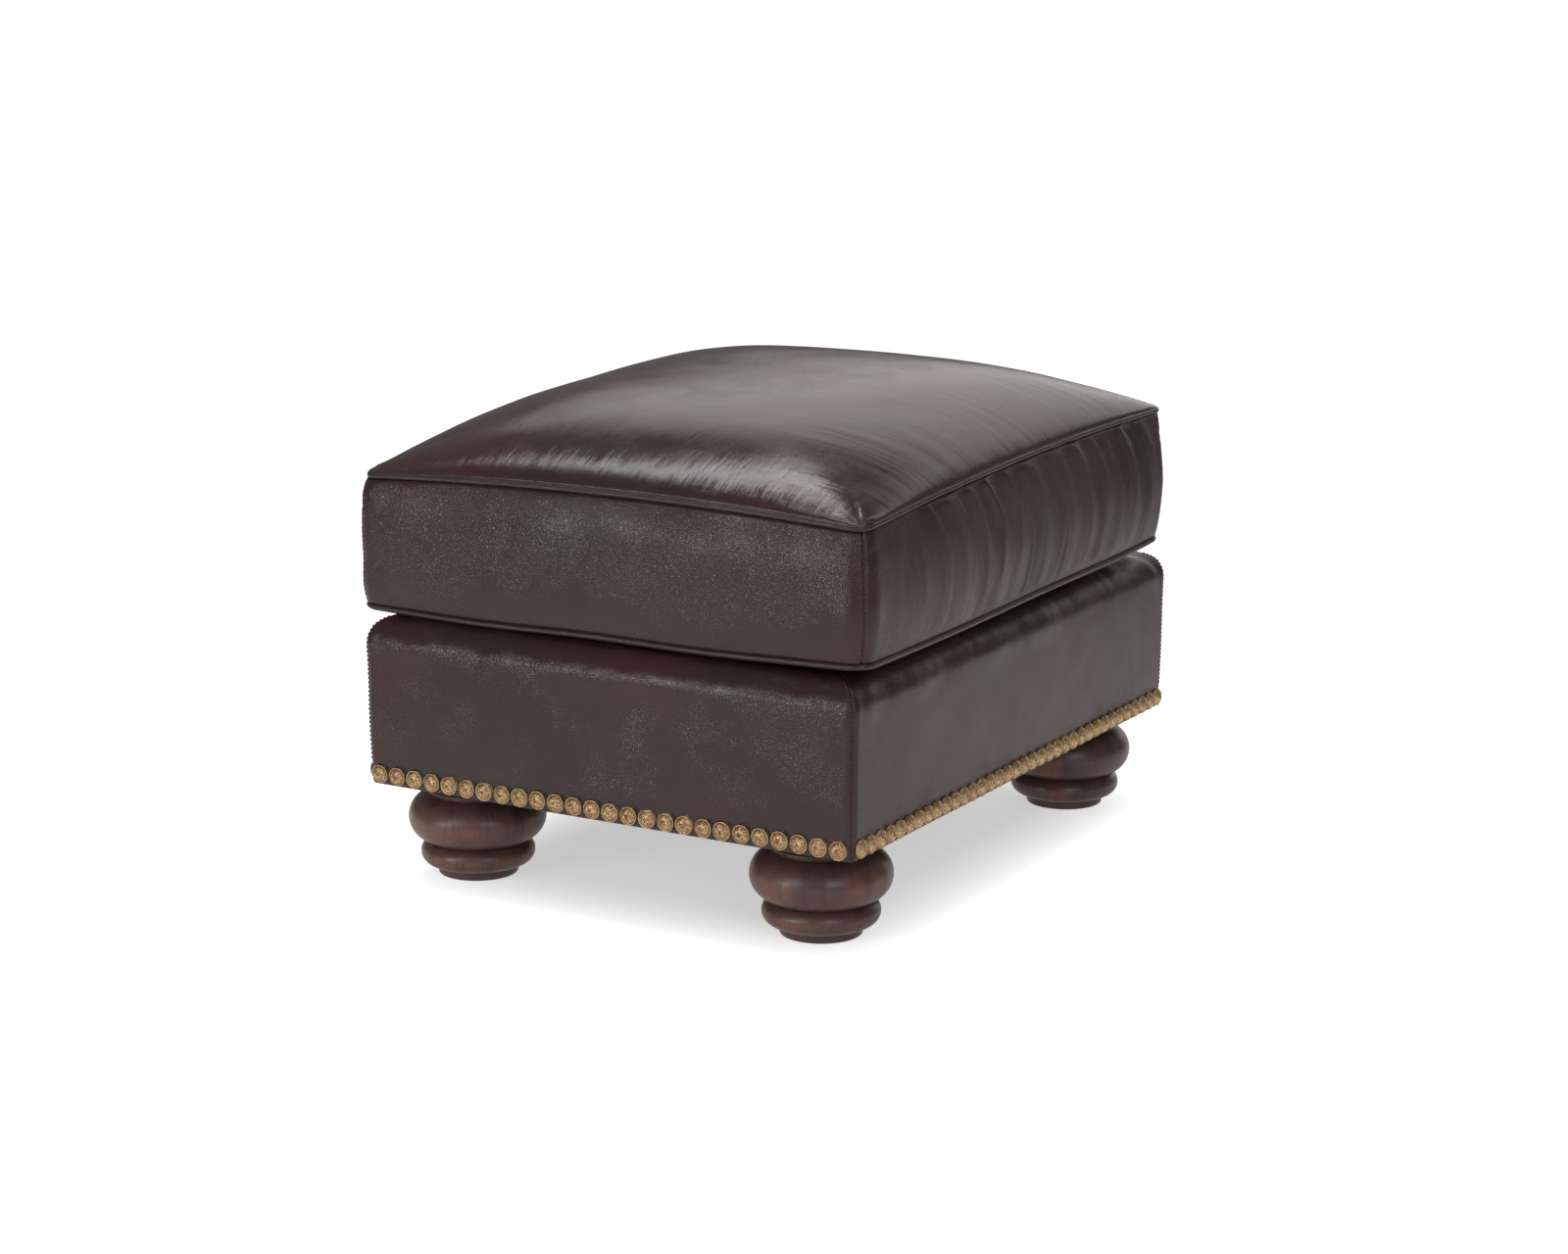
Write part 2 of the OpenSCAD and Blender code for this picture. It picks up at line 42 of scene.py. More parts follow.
# All lengths are in metres, heights above the floor
# Base
LEATHER = 0.0016
HALF_W, HALF_D = 0.2825, 0.3485
BASE_R = 0.012
HEM_IN, HEM_W, HEM_R = 0.0025, 0.018, 0.003
HEM_Z = 0.1004
DECK_Z = 0.273944
EDGE_R = 0.030
EDGE_Z = DECK_Z - EDGE_R
BORDER = 0.080
DECK_TUCK, DECK_FULL, DECK_THICK = 0.010, 0.0010, 0.0009
# The corner stitches begin NAIL_BAND above the hem and end SEAM_END in from the side
NAIL_BAND, SEAM_END = 0.022, 0.022

# Nails
NAIL_Z = HEM_Z + 0.0116
NAIL_H, NAIL_EDGE = 0.0060, 0.0175
NAIL_R_FRONT, NAIL_R_SIDE = 0.0099, 0.0094
NAILS_X, NAILS_Y = 26, 36
NAIL_SIDES = 22
NAIL_GROOVE, GROOVE_DEEP = 0.83, 0.0006
DOME_EDGE, RIM_TOP = 0.50, 0.52
NAIL_DENTS, NAIL_PITS = (0.34, 51, 0.00022), (0.19, 52, 0.00016)
NAIL_OFF_ALONG, NAIL_OFF_UP = 0.0003, 0.0004

# Feet
FOOT_IN = 0.0805
FOOT_SIDES = 96
BEAD_Z, BUN_Z = 0.021, 0.056

# Cushion. WELT is the room kept for the welt, CORD the radius of its cord as it is drawn, and SEAM_GAP
# the height between a seam line and the leather that meets the welt.
C_HALF_W, C_HALF_D, C_R = 0.2865, 0.328, 0.018
C_X, C_Y = -0.003, -0.004
WELT = 0.004
CORD = 0.0031
SEAM_GAP = CORD + 0.0001
SEAT_DROP = 0.0054
REST_Z = DECK_Z + 0.0004
LOW_Z = REST_Z + SEAT_DROP + WELT + 0.0002
TOP_Z = LOW_Z + 0.139
CROWN, CROWN_N, CROWN_M = 0.058, 3.0, 0.68
FULLER, SINE_REACH = 0.0028, 1.25
ARCH, LIFT, TILT_X, TILT_Y, LOW_TILT = 0.009, 0.003, 0.002, 0.007, 0.003
LOW_WAVE = 0.0011
LEAN = 0.005
BULGE = 0.008
WELT_STEP, WELT_SIDES, WELT_IN = 0.0026, 14, 0.0010
SPLICE_DEEP, SPLICE_SLANT, SPLICE_W = 0.0007, 0.0022, 0.0011

# Zip
ZIP_Z = (LOW_Z + TOP_Z + TILT_Y) / 2
ZIP_L, SLOT_H, SLOT_SHUT, SLOT_PAST = 0.470, 0.008, 0.0001, 0.006
ZIP_Y = C_Y + C_HALF_D + BULGE - LEATHER - 0.0008
TOOTH_STEP, TOOTH_ROOT = 0.0022, 0.0023
TOOTH_HALF_W, TOOTH_DEEP, TOOTH_REACH = 0.00055, 0.0012, 0.0031
TAPE_OVER, TAPE_HALF_H, TAPE_DEEP = 0.008, 0.013, 0.0006
RIB_STEP, RIB_H = 0.0013, 0.00012

# Rows and columns of the grids: coarse ones for the simulation, fine ones for the pieces
TOP_COARSE, TOP_FINE = (116, 132), (178, 204)
BOX_STEP, BOX_COARSE, BOX_FINE = 0.0050, 28, 44
STRIP_STEP, STRIP_COLS = 0.0030, 18
BOTTOM_GRID, DECK_GRID, TAPE_GRID = (72, 82), (60, 80), (200, 14)
BASE_STEP, CORNER_REACH = 0.0072, 0.12

# How far the simulation may move a point
TOP_CAP, BOX_CAP = 0.004, 0.003

# Waves in the leather, each a spacing, a seed and a height
TOP_HOLLOWS, TOP_RIPPLES = (0.15, 7, 0.0020), (0.05, 8, 0.00035)
BOX_CALM, BOX_SWELL, BOX_RUMPLE = (0.030, 13, 0.0005), (0.09, 14, 0.0015), (0.030, 15, 0.0009)
STRIP_SWELL = (0.05, 21, 0.0008)
BASE_SWELL, BASE_RIPPLES = (0.11, 41, 0.0010), (0.035, 42, 0.0003)
ROLL_PULLS, ROLL_CREASES = (0.055, 45, 0.0019), (0.018, 46, 0.0004)
DECK_SWELL, TAPE_SWELL = (0.05, 61, 0.0003), (0.01, 71, 0.0001)
FOLD_H, WELT_WOBBLE = 0.0019, 0.00022

# Seams and their thread. A seam lies SEAM_DEEP under the leather, with a pucker over every second stitch
SEAM_DEEP = 0.0011
BOX_SEAM_W, STRIP_SEAM_W, BASE_SEAM_W = 0.0012, 0.0020, 0.0011
STITCH_STEP, STITCH_L, STITCH_R = 0.0046, 0.0030, 0.00070
BOX_STITCH_UP, BASE_STITCH_UP = 0.0004, 0.0003
PUCKER_STEP, PUCKER_H = 0.0092, 0.00015
FINE_STITCH_STEP, FINE_STITCH_L, FINE_STITCH_R, FINE_STITCH_UP = 0.0042, 0.0028, 0.0003, 0.0001


# Number fields

HASH_AXES = np.array([73856093, 19349663, 83492791])
HASH_SEED, HASH_MIX, HASH_HALF = 2654435761, 1274126177, 32767.5


def field(points, size, seed):
    """Smooth value noise from -1 to 1: a lattice of random values at the given spacing, joined by a
    smoothstep on each axis. points is (..., 3)."""
    q = np.asarray(points) / size
    cell = np.floor(q).astype(np.int64)
    part = q - cell
    part = part * part * (3 - 2 * part)
    out = 0.0
    for corner in np.ndindex(2, 2, 2):
        h = (cell + np.array(corner)) * HASH_AXES
        h = h[..., 0] ^ h[..., 1] ^ h[..., 2] ^ (seed * HASH_SEED)
        h = (h ^ (h >> 13)) * HASH_MIX
        value = ((h ^ (h >> 16)) & 0xFFFF) / HASH_HALF - 1
        share = np.where(np.array(corner, bool), part, 1 - part)
        out = out + share[..., 0] * share[..., 1] * share[..., 2] * value
    return out


def wave(points, shape):
    """A field of the given spacing and seed, times its height."""
    size, seed, height = shape
    return field(points, size, seed) * height


def at(x, y, z=0.0):
    """Points (..., 3) of three coordinates that are spread over each other."""
    return np.stack(np.broadcast_arrays(x, y, z), -1)


def ridge(x, width):
    """A bell: exp(-(x / width) squared)."""
    return np.exp(-(x / width) ** 2)


def step(x, a, b):
    """Smoothstep from 0 at a to 1 at b."""
    t = np.clip((x - a) / (b - a), 0, 1)
    return t * t * (3 - 2 * t)


def spline_rows(old, t):
    """Matrix that carries samples 0, 1, 2 and so on to the places t, by Catmull-Rom weights."""
    i = np.clip(np.floor(t).astype(int), 0, old - 2)
    f = t - i
    w = np.zeros((len(t), old))
    parts = (-0.5 * f ** 3 + f ** 2 - 0.5 * f, 1.5 * f ** 3 - 2.5 * f ** 2 + 1,
             -1.5 * f ** 3 + 2 * f ** 2 + 0.5 * f, 0.5 * f ** 3 - 0.5 * f ** 2)
    for k, part in enumerate(parts):
        np.add.at(w, (np.arange(len(t)), np.clip(i - 1 + k, 0, old - 1)), part)
    return w


def resample(grid, row_at, col_at):
    """A (r, c, 3) grid carried to the given places between its rows and columns."""
    a = spline_rows(grid.shape[0], row_at)
    b = spline_rows(grid.shape[1], col_at)
    return np.einsum("ir,jc,rcd->ijd", a, b, grid)


def finer(last, seams):
    """Places at half steps from 0 to last, and closer ones beside each seam."""
    beside = np.array([-0.44, -0.32, -0.22, -0.11, 0.11, 0.22, 0.32, 0.44])
    places = np.concatenate([np.arange(0, last + 0.25, 0.5)] + [seam + beside for seam in seams])
    return np.unique(places[(places >= 0) & (places <= last)])


def square(rows, cols):
    """Grid positions p, q from -1 to 1 at equal steps."""
    return np.meshgrid(np.linspace(-1, 1, rows), np.linspace(-1, 1, cols), indexing="ij")


def run_length(path):
    """Length along a path up to each of its points."""
    return np.concatenate([[0], np.cumsum(np.linalg.norm(np.diff(path, axis=0), axis=1))])


def unit(vectors):
    """Vectors divided by their length."""
    return vectors / np.maximum(np.linalg.norm(vectors, axis=-1, keepdims=True), 1e-12)


def grid_normals(g, wrap=False):
    """Unit normals of a grid: the cross product of its two difference vectors."""
    du = np.roll(g, -1, 0) - np.roll(g, 1, 0) if wrap else np.gradient(g, axis=0)
    return unit(np.cross(du, np.gradient(g, axis=1)))


# Mesh pieces

def grid_corners(rows, cols, wrap_rows=False, wrap_cols=False):
    """Corner numbers of the squares of a grid, (n, 4)."""
    i, j = np.meshgrid(np.arange(rows - (not wrap_rows)), np.arange(cols - (not wrap_cols)), indexing="ij")
    a, b = i * cols + j, i * cols + (j + 1) % cols
    c, d = (i + 1) % rows * cols + (j + 1) % cols, (i + 1) % rows * cols + j
    return np.stack([a, d, c, b], -1).reshape(-1, 4)


def hub_corners(hub, first, sides, flip=False):
    """Corner numbers of the triangles that join a ring of points to a point in its middle, (n, 3)."""
    j = np.arange(sides)
    here, after = first + j, first + (j + 1) % sides
    return np.stack([0 * j + hub, here, after] if flip else [0 * j + hub, after, here], -1)


def piece(name, points, faces, finish, body, stands_for=(), smooth=True):
    """A mesh object of the given points and faces that rides on a body."""
    mesh = bpy.data.meshes.new(name)
    points = np.asarray(points, float).reshape(-1, 3)
    mesh.from_pydata(points.tolist(), [], [list(map(int, f)) for f in faces])
    mesh.polygons.foreach_set("use_smooth", [smooth] * len(mesh.polygons))
    mesh.materials.append(finish)
    mesh.update()
    obj = bpy.data.objects.new(name, mesh)
    scene.collection.objects.link(obj)
    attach(obj, body)
    if stands_for:
        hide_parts(*stands_for)
    return obj


def thicken(obj, depth=LEATHER):
    """Gives a sheet its thickness inwards."""
    mod = obj.modifiers.new("thickness", "SOLIDIFY")
    mod.thickness = depth
    mod.offset = -1
    mod.use_even_offset = False


def cover(name, points, finish, body, stands_for, depth=LEATHER, wrap=False):
    """A piece of leather or cloth: a grid of points as a sheet with its thickness under it."""
    obj = piece(name, points, grid_corners(*points.shape[:2], wrap), finish, body, stands_for)
    thicken(obj, depth)


def copies(name, points, faces, places, finish, body, stands_for=(), smooth=True):
    """One piece of many copies of a small shape, each turned by its 3x3 rows and carried to its place."""
    turned = np.einsum("nij,kj->nki", np.array([turn for turn, place in places]), points)
    moved = turned + np.array([place for turn, place in places])[:, None]
    shift = np.arange(len(places))[:, None, None] * len(points)
    all_faces = (np.array(faces)[None] + shift).reshape(-1, np.array(faces).shape[1])
    piece(name, moved, all_faces, finish, body, stands_for, smooth)


def tube(path, normals, sides, radius):
    """Rings round a closed path: centre + radius (cos t normal + sin t binormal). radius may be an array
    (path, sides)."""
    tangent = unit(np.roll(path, -1, 0) - np.roll(path, 1, 0))
    normals = unit(normals - tangent * (normals * tangent).sum(1, keepdims=True))
    binormal = np.cross(tangent, normals)
    t = np.linspace(0, 2 * np.pi, sides, endpoint=False)
    radius = np.broadcast_to(radius, (len(path), sides))[..., None]
    return path[:, None] + radius * (np.cos(t)[None, :, None] * normals[:, None]
                                     + np.sin(t)[None, :, None] * binormal[:, None])


# Materials

class Nodes:
    """Shader nodes of one tree. add makes a node of a kind, sets its properties, joins or sets its inlets,
    which are named, or numbered as i0, i1 and so on, and gives back one outlet."""

    def __init__(self, tree, coords="Object"):
        self.tree = tree
        self.coords = tree.nodes.new("ShaderNodeTexCoord").outputs[coords]

    def add(self, kind, outlet=0, props=None, **links):
        n = self.tree.nodes.new(kind)
        for key, value in (props or {}).items():
            setattr(n, key, value)
        for key, value in links.items():
            inlet = n.inputs[int(key[1:]) if key[1:].isdigit() else key.replace("_", " ")]
            if isinstance(value, bpy.types.NodeSocket):
                self.tree.links.new(value, inlet)
            else:
                inlet.default_value = value
        return n.outputs[outlet] if n.outputs else None

    def noise(self, scale, detail=3.0, rough=0.55, distortion=0.0, at=None):
        """Noise from 0 to 1, with about scale waves in a metre."""
        return self.add("ShaderNodeTexNoise", "Fac", Vector=at or self.coords, Scale=scale, Detail=detail,
                        Roughness=rough, Distortion=distortion)

    def stretch(self, x, y, z):
        """The coordinates times a factor on each axis."""
        return self.add("ShaderNodeMapping", "Vector", Vector=self.coords, Scale=(x, y, z))

    def cells(self, scale, feature="DISTANCE_TO_EDGE"):
        """Distance to the edge of the nearest cell, or to its middle with a feature that gives it."""
        return self.add("ShaderNodeTexVoronoi", "Distance", {"feature": feature}, Vector=self.coords,
                        Scale=scale)

    def axis(self, name):
        """One of the three coordinates."""
        return self.add("ShaderNodeSeparateXYZ", name, Vector=self.coords)

    def span(self, value, low, high, to_low=0.0, to_high=1.0, how="LINEAR"):
        """Carries low to to_low and high to to_high, and holds those values outside."""
        return self.add("ShaderNodeMapRange", "Result", {"interpolation_type": how}, Value=value,
                        From_Min=low, From_Max=high, To_Min=to_low, To_Max=to_high)

    def ease(self, value, low, high, to_low=0.0, to_high=1.0):
        """The same with a smoothstep between."""
        return self.span(value, low, high, to_low, to_high, "SMOOTHSTEP")

    def mix(self, fac, a, b):
        """Colour a at 0 and b at 1."""
        return self.add("ShaderNodeMix", 2, {"data_type": "RGBA"}, i0=fac, i6=a, i7=b)

    def math(self, how, a, b=0.5):
        """One sum of a, or of a and b."""
        return self.add("ShaderNodeMath", 0, {"operation": how}, i0=a, i1=b)

    def times(self, first, *rest):
        """The product of all the values."""
        for value in rest:
            first = self.math("MULTIPLY", first, value)
        return first

    def gap(self, value, place):
        """Distance of a value from a place."""
        return self.math("ABSOLUTE", self.math("SUBTRACT", value, place))

    def hypot(self, a, b):
        """Square root of a squared plus b squared."""
        return self.math("SQRT", self.math("ADD", self.times(a, a), self.times(b, b)))


class Finish(Nodes):
    """A Principled material built from such nodes on Object coordinates."""

    def __init__(self, name, **values):
        self.mat = bpy.data.materials.new(name)
        self.mat.use_nodes = True
        super().__init__(self.mat.node_tree)
        self.shader = self.tree.nodes["Principled BSDF"]
        for key, value in values.items():
            self.shader.inputs[key.replace("_", " ")].default_value = value

    def set(self, key, value):
        """Joins a value to one of the shader's inlets."""
        self.tree.links.new(value, self.shader.inputs[key])

    def bump(self, layers):
        """layers of (height, strength, distance in metres), coarse ones first."""
        last = None
        for height, strength, distance in layers:
            links = {"Height": height, "Strength": strength, "Distance": distance}
            if last is not None:
                links["Normal"] = last
            last = self.add("ShaderNodeBump", "Normal", **links)
        self.set("Normal", last)


def rgb(r, g, b):
    """A colour with full alpha."""
    return (r, g, b, 1.0)


def make_leather(name, base, warm, dark, rough, relief=1.0, streaks=()):
    """Semi-aniline leather: brown with reddish clouds, a fine cell grain and faint drawn lines. Each
    streak layer is a stretch of the noise, an axis with the span over which it comes in, and a height."""
    f = Finish(name, Roughness=rough, IOR=1.52)
    broad = f.noise(6.0, 3, 0.5, 0.3)
    patch = f.noise(22.0, 4, 0.55, 0.3)
    fine = f.noise(240.0, 3, 0.55)
    tone = f.mix(f.span(broad, 0.40, 0.66), rgb(*base), rgb(*warm))
    tone = f.mix(f.span(patch, 0.50, 0.75, 0.0, 0.5), tone, rgb(*warm))
    tone = f.mix(f.span(fine, 0.50, 0.80, 0.0, 0.25), tone, rgb(*dark))
    grain = f.cells(GRAIN_CELLS)
    drawn = f.noise(95.0, 3, 0.55, 0.5, at=f.stretch(0.35, 0.35, 1.0))
    f.set("Base Color", tone)
    f.set("Roughness", f.span(patch, 0.3, 0.75, rough - 0.02, rough + 0.04))
    pebbled = f.span(patch, 0.35, 0.65, 0.5, 1.0)
    layers = [(drawn, 0.10 * relief, 0.0010),
              (f.times(f.span(grain, 0.0, 0.25), pebbled), 0.45 * relief, 0.0003),
              (fine, 0.14 * relief, 0.0005)]
    for stretch, axis, near, far, height in streaks:
        lines = f.noise(1.0, 4, 0.6, 0.25, at=f.stretch(*stretch))
        layers.insert(0, (f.times(lines, f.span(f.axis(axis), near, far)), 0.8, height))
    f.bump(layers)
    return f.mat


def make_thread():
    """Twisted thread: slanting bands of two browns."""
    f = Finish("waxed_thread", Roughness=0.55)
    twist = f.add("ShaderNodeTexWave", "Fac", {"wave_type": "BANDS", "bands_direction": "DIAGONAL"},
                  Vector=f.coords, Scale=420.0)
    f.set("Base Color", f.mix(twist, rgb(0.060, 0.028, 0.025), rgb(0.115, 0.058, 0.050)))
    f.bump([(twist, 0.4, 0.0002)])
    return f.mat


def make_brass(name, light, mid, pit, rough, row=None):
    """Antiqued, hammered brass: pits keep a dark patina, the high spots are rubbed bright. row is the
    axis, first centre, spacing and radius of a row of nails. away is the distance from the nearest nail's
    centre in radii: a dark groove at 0.82, a bright rim outside it and painted shade at the edge, where the
    head meets the leather and its neighbours."""
    f = Finish(name, Metallic=1.0, Roughness=rough)
    patina = f.noise(900.0, 4, 0.65, 0.4)
    dents = f.cells(560.0, "SMOOTH_F1")
    tone = f.mix(f.span(patina, 0.40, 0.60), rgb(*pit), rgb(*mid))
    tone = f.mix(f.span(dents, 0.30, 0.70), tone, rgb(*light))
    flat = 1.0
    if row:
        axis, first, spacing, radius = row
        turns = f.math("DIVIDE", f.math("SUBTRACT", f.axis(axis), first - spacing / 2), spacing)
        beside = f.times(f.math("SUBTRACT", f.math("FRACT", turns), 0.5), spacing)
        above = f.math("SUBTRACT", f.axis("Z"), NAIL_Z)
        away = f.math("DIVIDE", f.hypot(beside, above), radius)
        tone = f.mix(f.span(f.gap(away, 0.82), 0.08, 0.02, 0.0, 0.55), tone, rgb(*pit))
        tone = f.mix(f.span(away, 0.86, 0.91), tone, rgb(0.72, 0.52, 0.32))
        # painted shade: the outer edge of each head is darkened to the pit tone where it meets the leather
        # and the next nail
        tone = f.mix(f.span(away, 0.93, 0.99, 0.0, 0.9), tone, rgb(*pit))
        flat = f.span(away, 0.78, 0.86, 1.0, 0.1)
    f.set("Base Color", tone)
    f.set("Roughness", f.span(patina, 0.35, 0.65, rough + 0.12, rough - 0.08))
    f.bump([(f.times(dents, flat), 0.6, 0.0007), (f.times(patina, flat), 0.35, 0.0004)])
    return f.mat


def make_turned_wood():
    """Stained hardwood: long streaks along the turning axis, a warm glow where the stain is thin on the
    fullest part of the bun and of the bead."""
    f = Finish("stained_wood", Roughness=0.40, IOR=1.5, Coat_Weight=0.45, Coat_Roughness=0.30)
    streak = f.noise(60.0, 6, 0.65, 0.4, at=f.stretch(1.0, 1.0, 0.16))
    broad = f.noise(16.0, 3, 0.5, 0.2, at=f.stretch(1.0, 1.0, 0.6))
    pores = f.noise(520.0, 2, 0.5, at=f.stretch(1.0, 1.0, 0.06))
    level = f.axis("Z")
    bun = f.span(f.gap(level, BUN_Z), 0.004, 0.022, 1.0, 0.0)
    bead = f.span(f.gap(level, BEAD_Z), 0.001, 0.010, 1.0, 0.0)
    rubbed = f.times(f.math("ADD", f.times(bun, 0.8), bead), f.span(broad, 0.42, 0.60))
    tone = f.mix(f.span(broad, 0.30, 0.70), rgb(0.100, 0.054, 0.047), rgb(0.145, 0.072, 0.059))
    tone = f.mix(f.times(rubbed, 0.85), tone, rgb(0.300, 0.120, 0.068))
    tone = f.mix(f.span(streak, 0.48, 0.66, 0.0, 0.6), tone, rgb(0.046, 0.024, 0.019))
    tone = f.mix(f.span(pores, 0.6, 0.72, 0.0, 0.4), tone, rgb(0.014, 0.008, 0.006))
    f.set("Base Color", tone)
    f.set("Roughness", f.span(streak, 0.35, 0.7, 0.34, 0.50))
    f.bump([(streak, 0.20, 0.0006), (pores, 0.1, 0.0002)])
    return f.mat


def make_plain(name, a, b, scale, rough=0.7, metal=0.0, height=0.0005, along=None):
    """A two-tone noise finish for the pieces inside."""
    f = Finish(name, Roughness=rough, Metallic=metal)
    n = f.noise(scale, 4, 0.6, at=f.stretch(*along) if along else None)
    f.set("Base Color", f.mix(f.span(n, 0.35, 0.65), rgb(*a), rgb(*b)))
    f.set("Roughness", f.span(n, 0.3, 0.7, rough - 0.08, rough + 0.08))
    f.bump([(n, 0.3, height)])
    return f.mat


def make_weave(name, a, b, scale, rough=0.85):
    """Cloth: two crossing bands, the warp over the weft."""
    f = Finish(name, Roughness=rough)
    warp, weft = (f.add("ShaderNodeTexWave", "Fac", {"wave_type": "BANDS", "bands_direction": axis},
                        Vector=f.coords, Scale=scale, Distortion=0.6, Detail=2.0) for axis in ("X", "Y"))
    f.set("Base Color", f.mix(f.span(f.noise(30.0), 0.3, 0.7), rgb(*a), rgb(*b)))
    f.bump([(f.math("MAXIMUM", warp, weft), 0.5, 0.0004)])
    return f.mat


# Leather: cells of the grain in a metre, three tones, and the drawn lines that come in towards the right
# and the front
GRAIN_CELLS = 600.0
LEATHER_TONES = (0.042, 0.027, 0.024), (0.066, 0.027, 0.024), (0.024, 0.015, 0.013)
# The welt is the same leather painted lighter: a painted highlight along the cord
WELT_TONES_PAINTED_LIGHTER = (0.054, 0.035, 0.030), (0.062, 0.036, 0.030), (0.030, 0.018, 0.015)
RIGHT_LINES = (5.0, 55.0, 5.0), "X", 0.05, 0.22, 0.0006
FRONT_LINES = (80.0, 12.0, 12.0), "Y", -0.20, -0.31, 0.0009
BOX_LINES = (110.0, 110.0, 9.0), "X", 0.270, 0.283, 0.0005
leather = make_leather("espresso_leather", *LEATHER_TONES, 0.20, 0.8)
top_leather = make_leather("top_leather", *LEATHER_TONES, 0.135, 0.3, (RIGHT_LINES, FRONT_LINES))
box_leather = make_leather("boxing_leather", *LEATHER_TONES, 0.22, 1.1, (BOX_LINES,))
# painted highlight: the welt's leather is a lighter copy of the rest
welt_leather_painted_lighter = make_leather("welt_leather_painted_lighter", *WELT_TONES_PAINTED_LIGHTER, 0.23)
thread = make_thread()

# Brass: light, middle and pit tone, and the roughness
NAIL_TONES = (0.88, 0.62, 0.36), (0.54, 0.35, 0.18), (0.16, 0.090, 0.042), 0.44
# The side rows are the same brass as the front rows, painted lighter where the sides take less light
SIDE_TONES_PAINTED_LIGHTER = (0.98, 0.72, 0.42), (0.76, 0.52, 0.29), (0.27, 0.165, 0.080), 0.48
ZIP_TONES = (0.40, 0.29, 0.14), (0.26, 0.18, 0.08), (0.08, 0.05, 0.025), 0.34
NAIL_STEP_X = 2 * (HALF_W - NAIL_EDGE) / (NAILS_X - 1)
NAIL_STEP_Y = 2 * (HALF_D - NAIL_EDGE) / (NAILS_Y - 1)
ROW_X = "X", NAIL_EDGE - HALF_W, NAIL_STEP_X, NAIL_R_FRONT
ROW_Y = "Y", NAIL_EDGE - HALF_D, NAIL_STEP_Y, NAIL_R_SIDE
brass_x = make_brass("antique_brass", *NAIL_TONES, ROW_X)
# painted light: the side rows' brass is a lighter copy of the front rows' brass
brass_y = make_brass("antique_brass_side_painted_lighter", *SIDE_TONES_PAINTED_LIGHTER, ROW_Y)
zip_brass = make_brass("zip_brass", *ZIP_TONES)

# Wood, steel, stuffing and cloth
turned_wood = make_turned_wood()
frame_wood = make_plain("sawn_wood", (0.50, 0.34, 0.20), (0.62, 0.45, 0.28), 40, 0.75, along=(1, 0.15, 1))
steel = make_plain("zinc_steel", (0.42, 0.42, 0.43), (0.55, 0.55, 0.56), 300, 0.35, 1.0, 0.0002)
foam = make_plain("foam", (0.72, 0.66, 0.48), (0.80, 0.74, 0.56), 500, 0.9)
fibre = make_plain("wadding", (0.75, 0.75, 0.73), (0.85, 0.85, 0.83), 180, 0.95)
felt = make_plain("cotton_felt", (0.42, 0.41, 0.37), (0.60, 0.58, 0.54), 220, 0.95)
jute = make_weave("jute", (0.30, 0.20, 0.10), (0.42, 0.30, 0.16), 180)
deck_weave = make_weave("deck_weave", (0.020, 0.016, 0.014), (0.034, 0.027, 0.024), 320)
dust_weave = make_weave("dust_weave", (0.012, 0.012, 0.012), (0.022, 0.022, 0.022), 420)


# Plan of the cushion and the base

def rim(p, q, ax, ay, r):
    """Point of a rounded rectangle at grid position p, q, with max(|p|, |q|) = 1."""
    x, y = p * ax, q * ay
    u, v = np.abs(x) - ax + r, np.abs(y) - ay + r
    corner = (u > 0) & (v > 0)
    n = np.where(corner, np.hypot(u, v), 1.0)
    x = np.where(corner, np.sign(x) * (ax - r + r * u / n), x)
    y = np.where(corner, np.sign(y) * (ay - r + r * v / n), y)
    return x, y


def cushion_plan(p, q, k):
    """Cushion's plan, inset by k: the rim at p / s, q / s times s, the larger of |p| and |q|."""
    s = np.maximum(np.abs(p), np.abs(q))
    safe = np.where(s == 0, 1.0, s)
    x, y = rim(p / safe, q / safe, C_HALF_W - k, C_HALF_D - k, C_R - k)
    return C_X + s * x, C_Y + s * y


def seam_up(p, q):
    """Upper seam: an arch over each side, 1 - (p q) squared, and a tilt to the right and the back."""
    return TOP_Z + ARCH * (1 - p * p * q * q) + TILT_X * p + TILT_Y * q


def seam_low(p, q):
    """Lower seam: raised at the corners by |p q| ** 6 and tilted, with a slow wave of about a
    millimetre."""
    slow = np.sin(7.0 * p + 2.0) * np.sin(6.0 * q + 0.6) * (1 - np.abs(p * q) ** 4)
    return LOW_Z + LIFT * np.abs(p * q) ** 6 + LOW_TILT * (p + q) + LOW_WAVE * slow


def drift(p, q, v):
    """How far the cushion leans out at its lower front left corner: most at height v = 0."""
    return LEAN * (1 - v) ** 1.3 * step(-p, 0.2, 1.0) * step(-q, -0.6, 1.0)


def dome(p, q):
    """Crown from 0 at the rim to 1 in the middle: ((1 - |p| ** n) (1 - |q| ** n)) ** m."""
    return np.maximum(0, (1 - np.abs(p) ** CROWN_N) * (1 - np.abs(q) ** CROWN_N)) ** CROWN_M


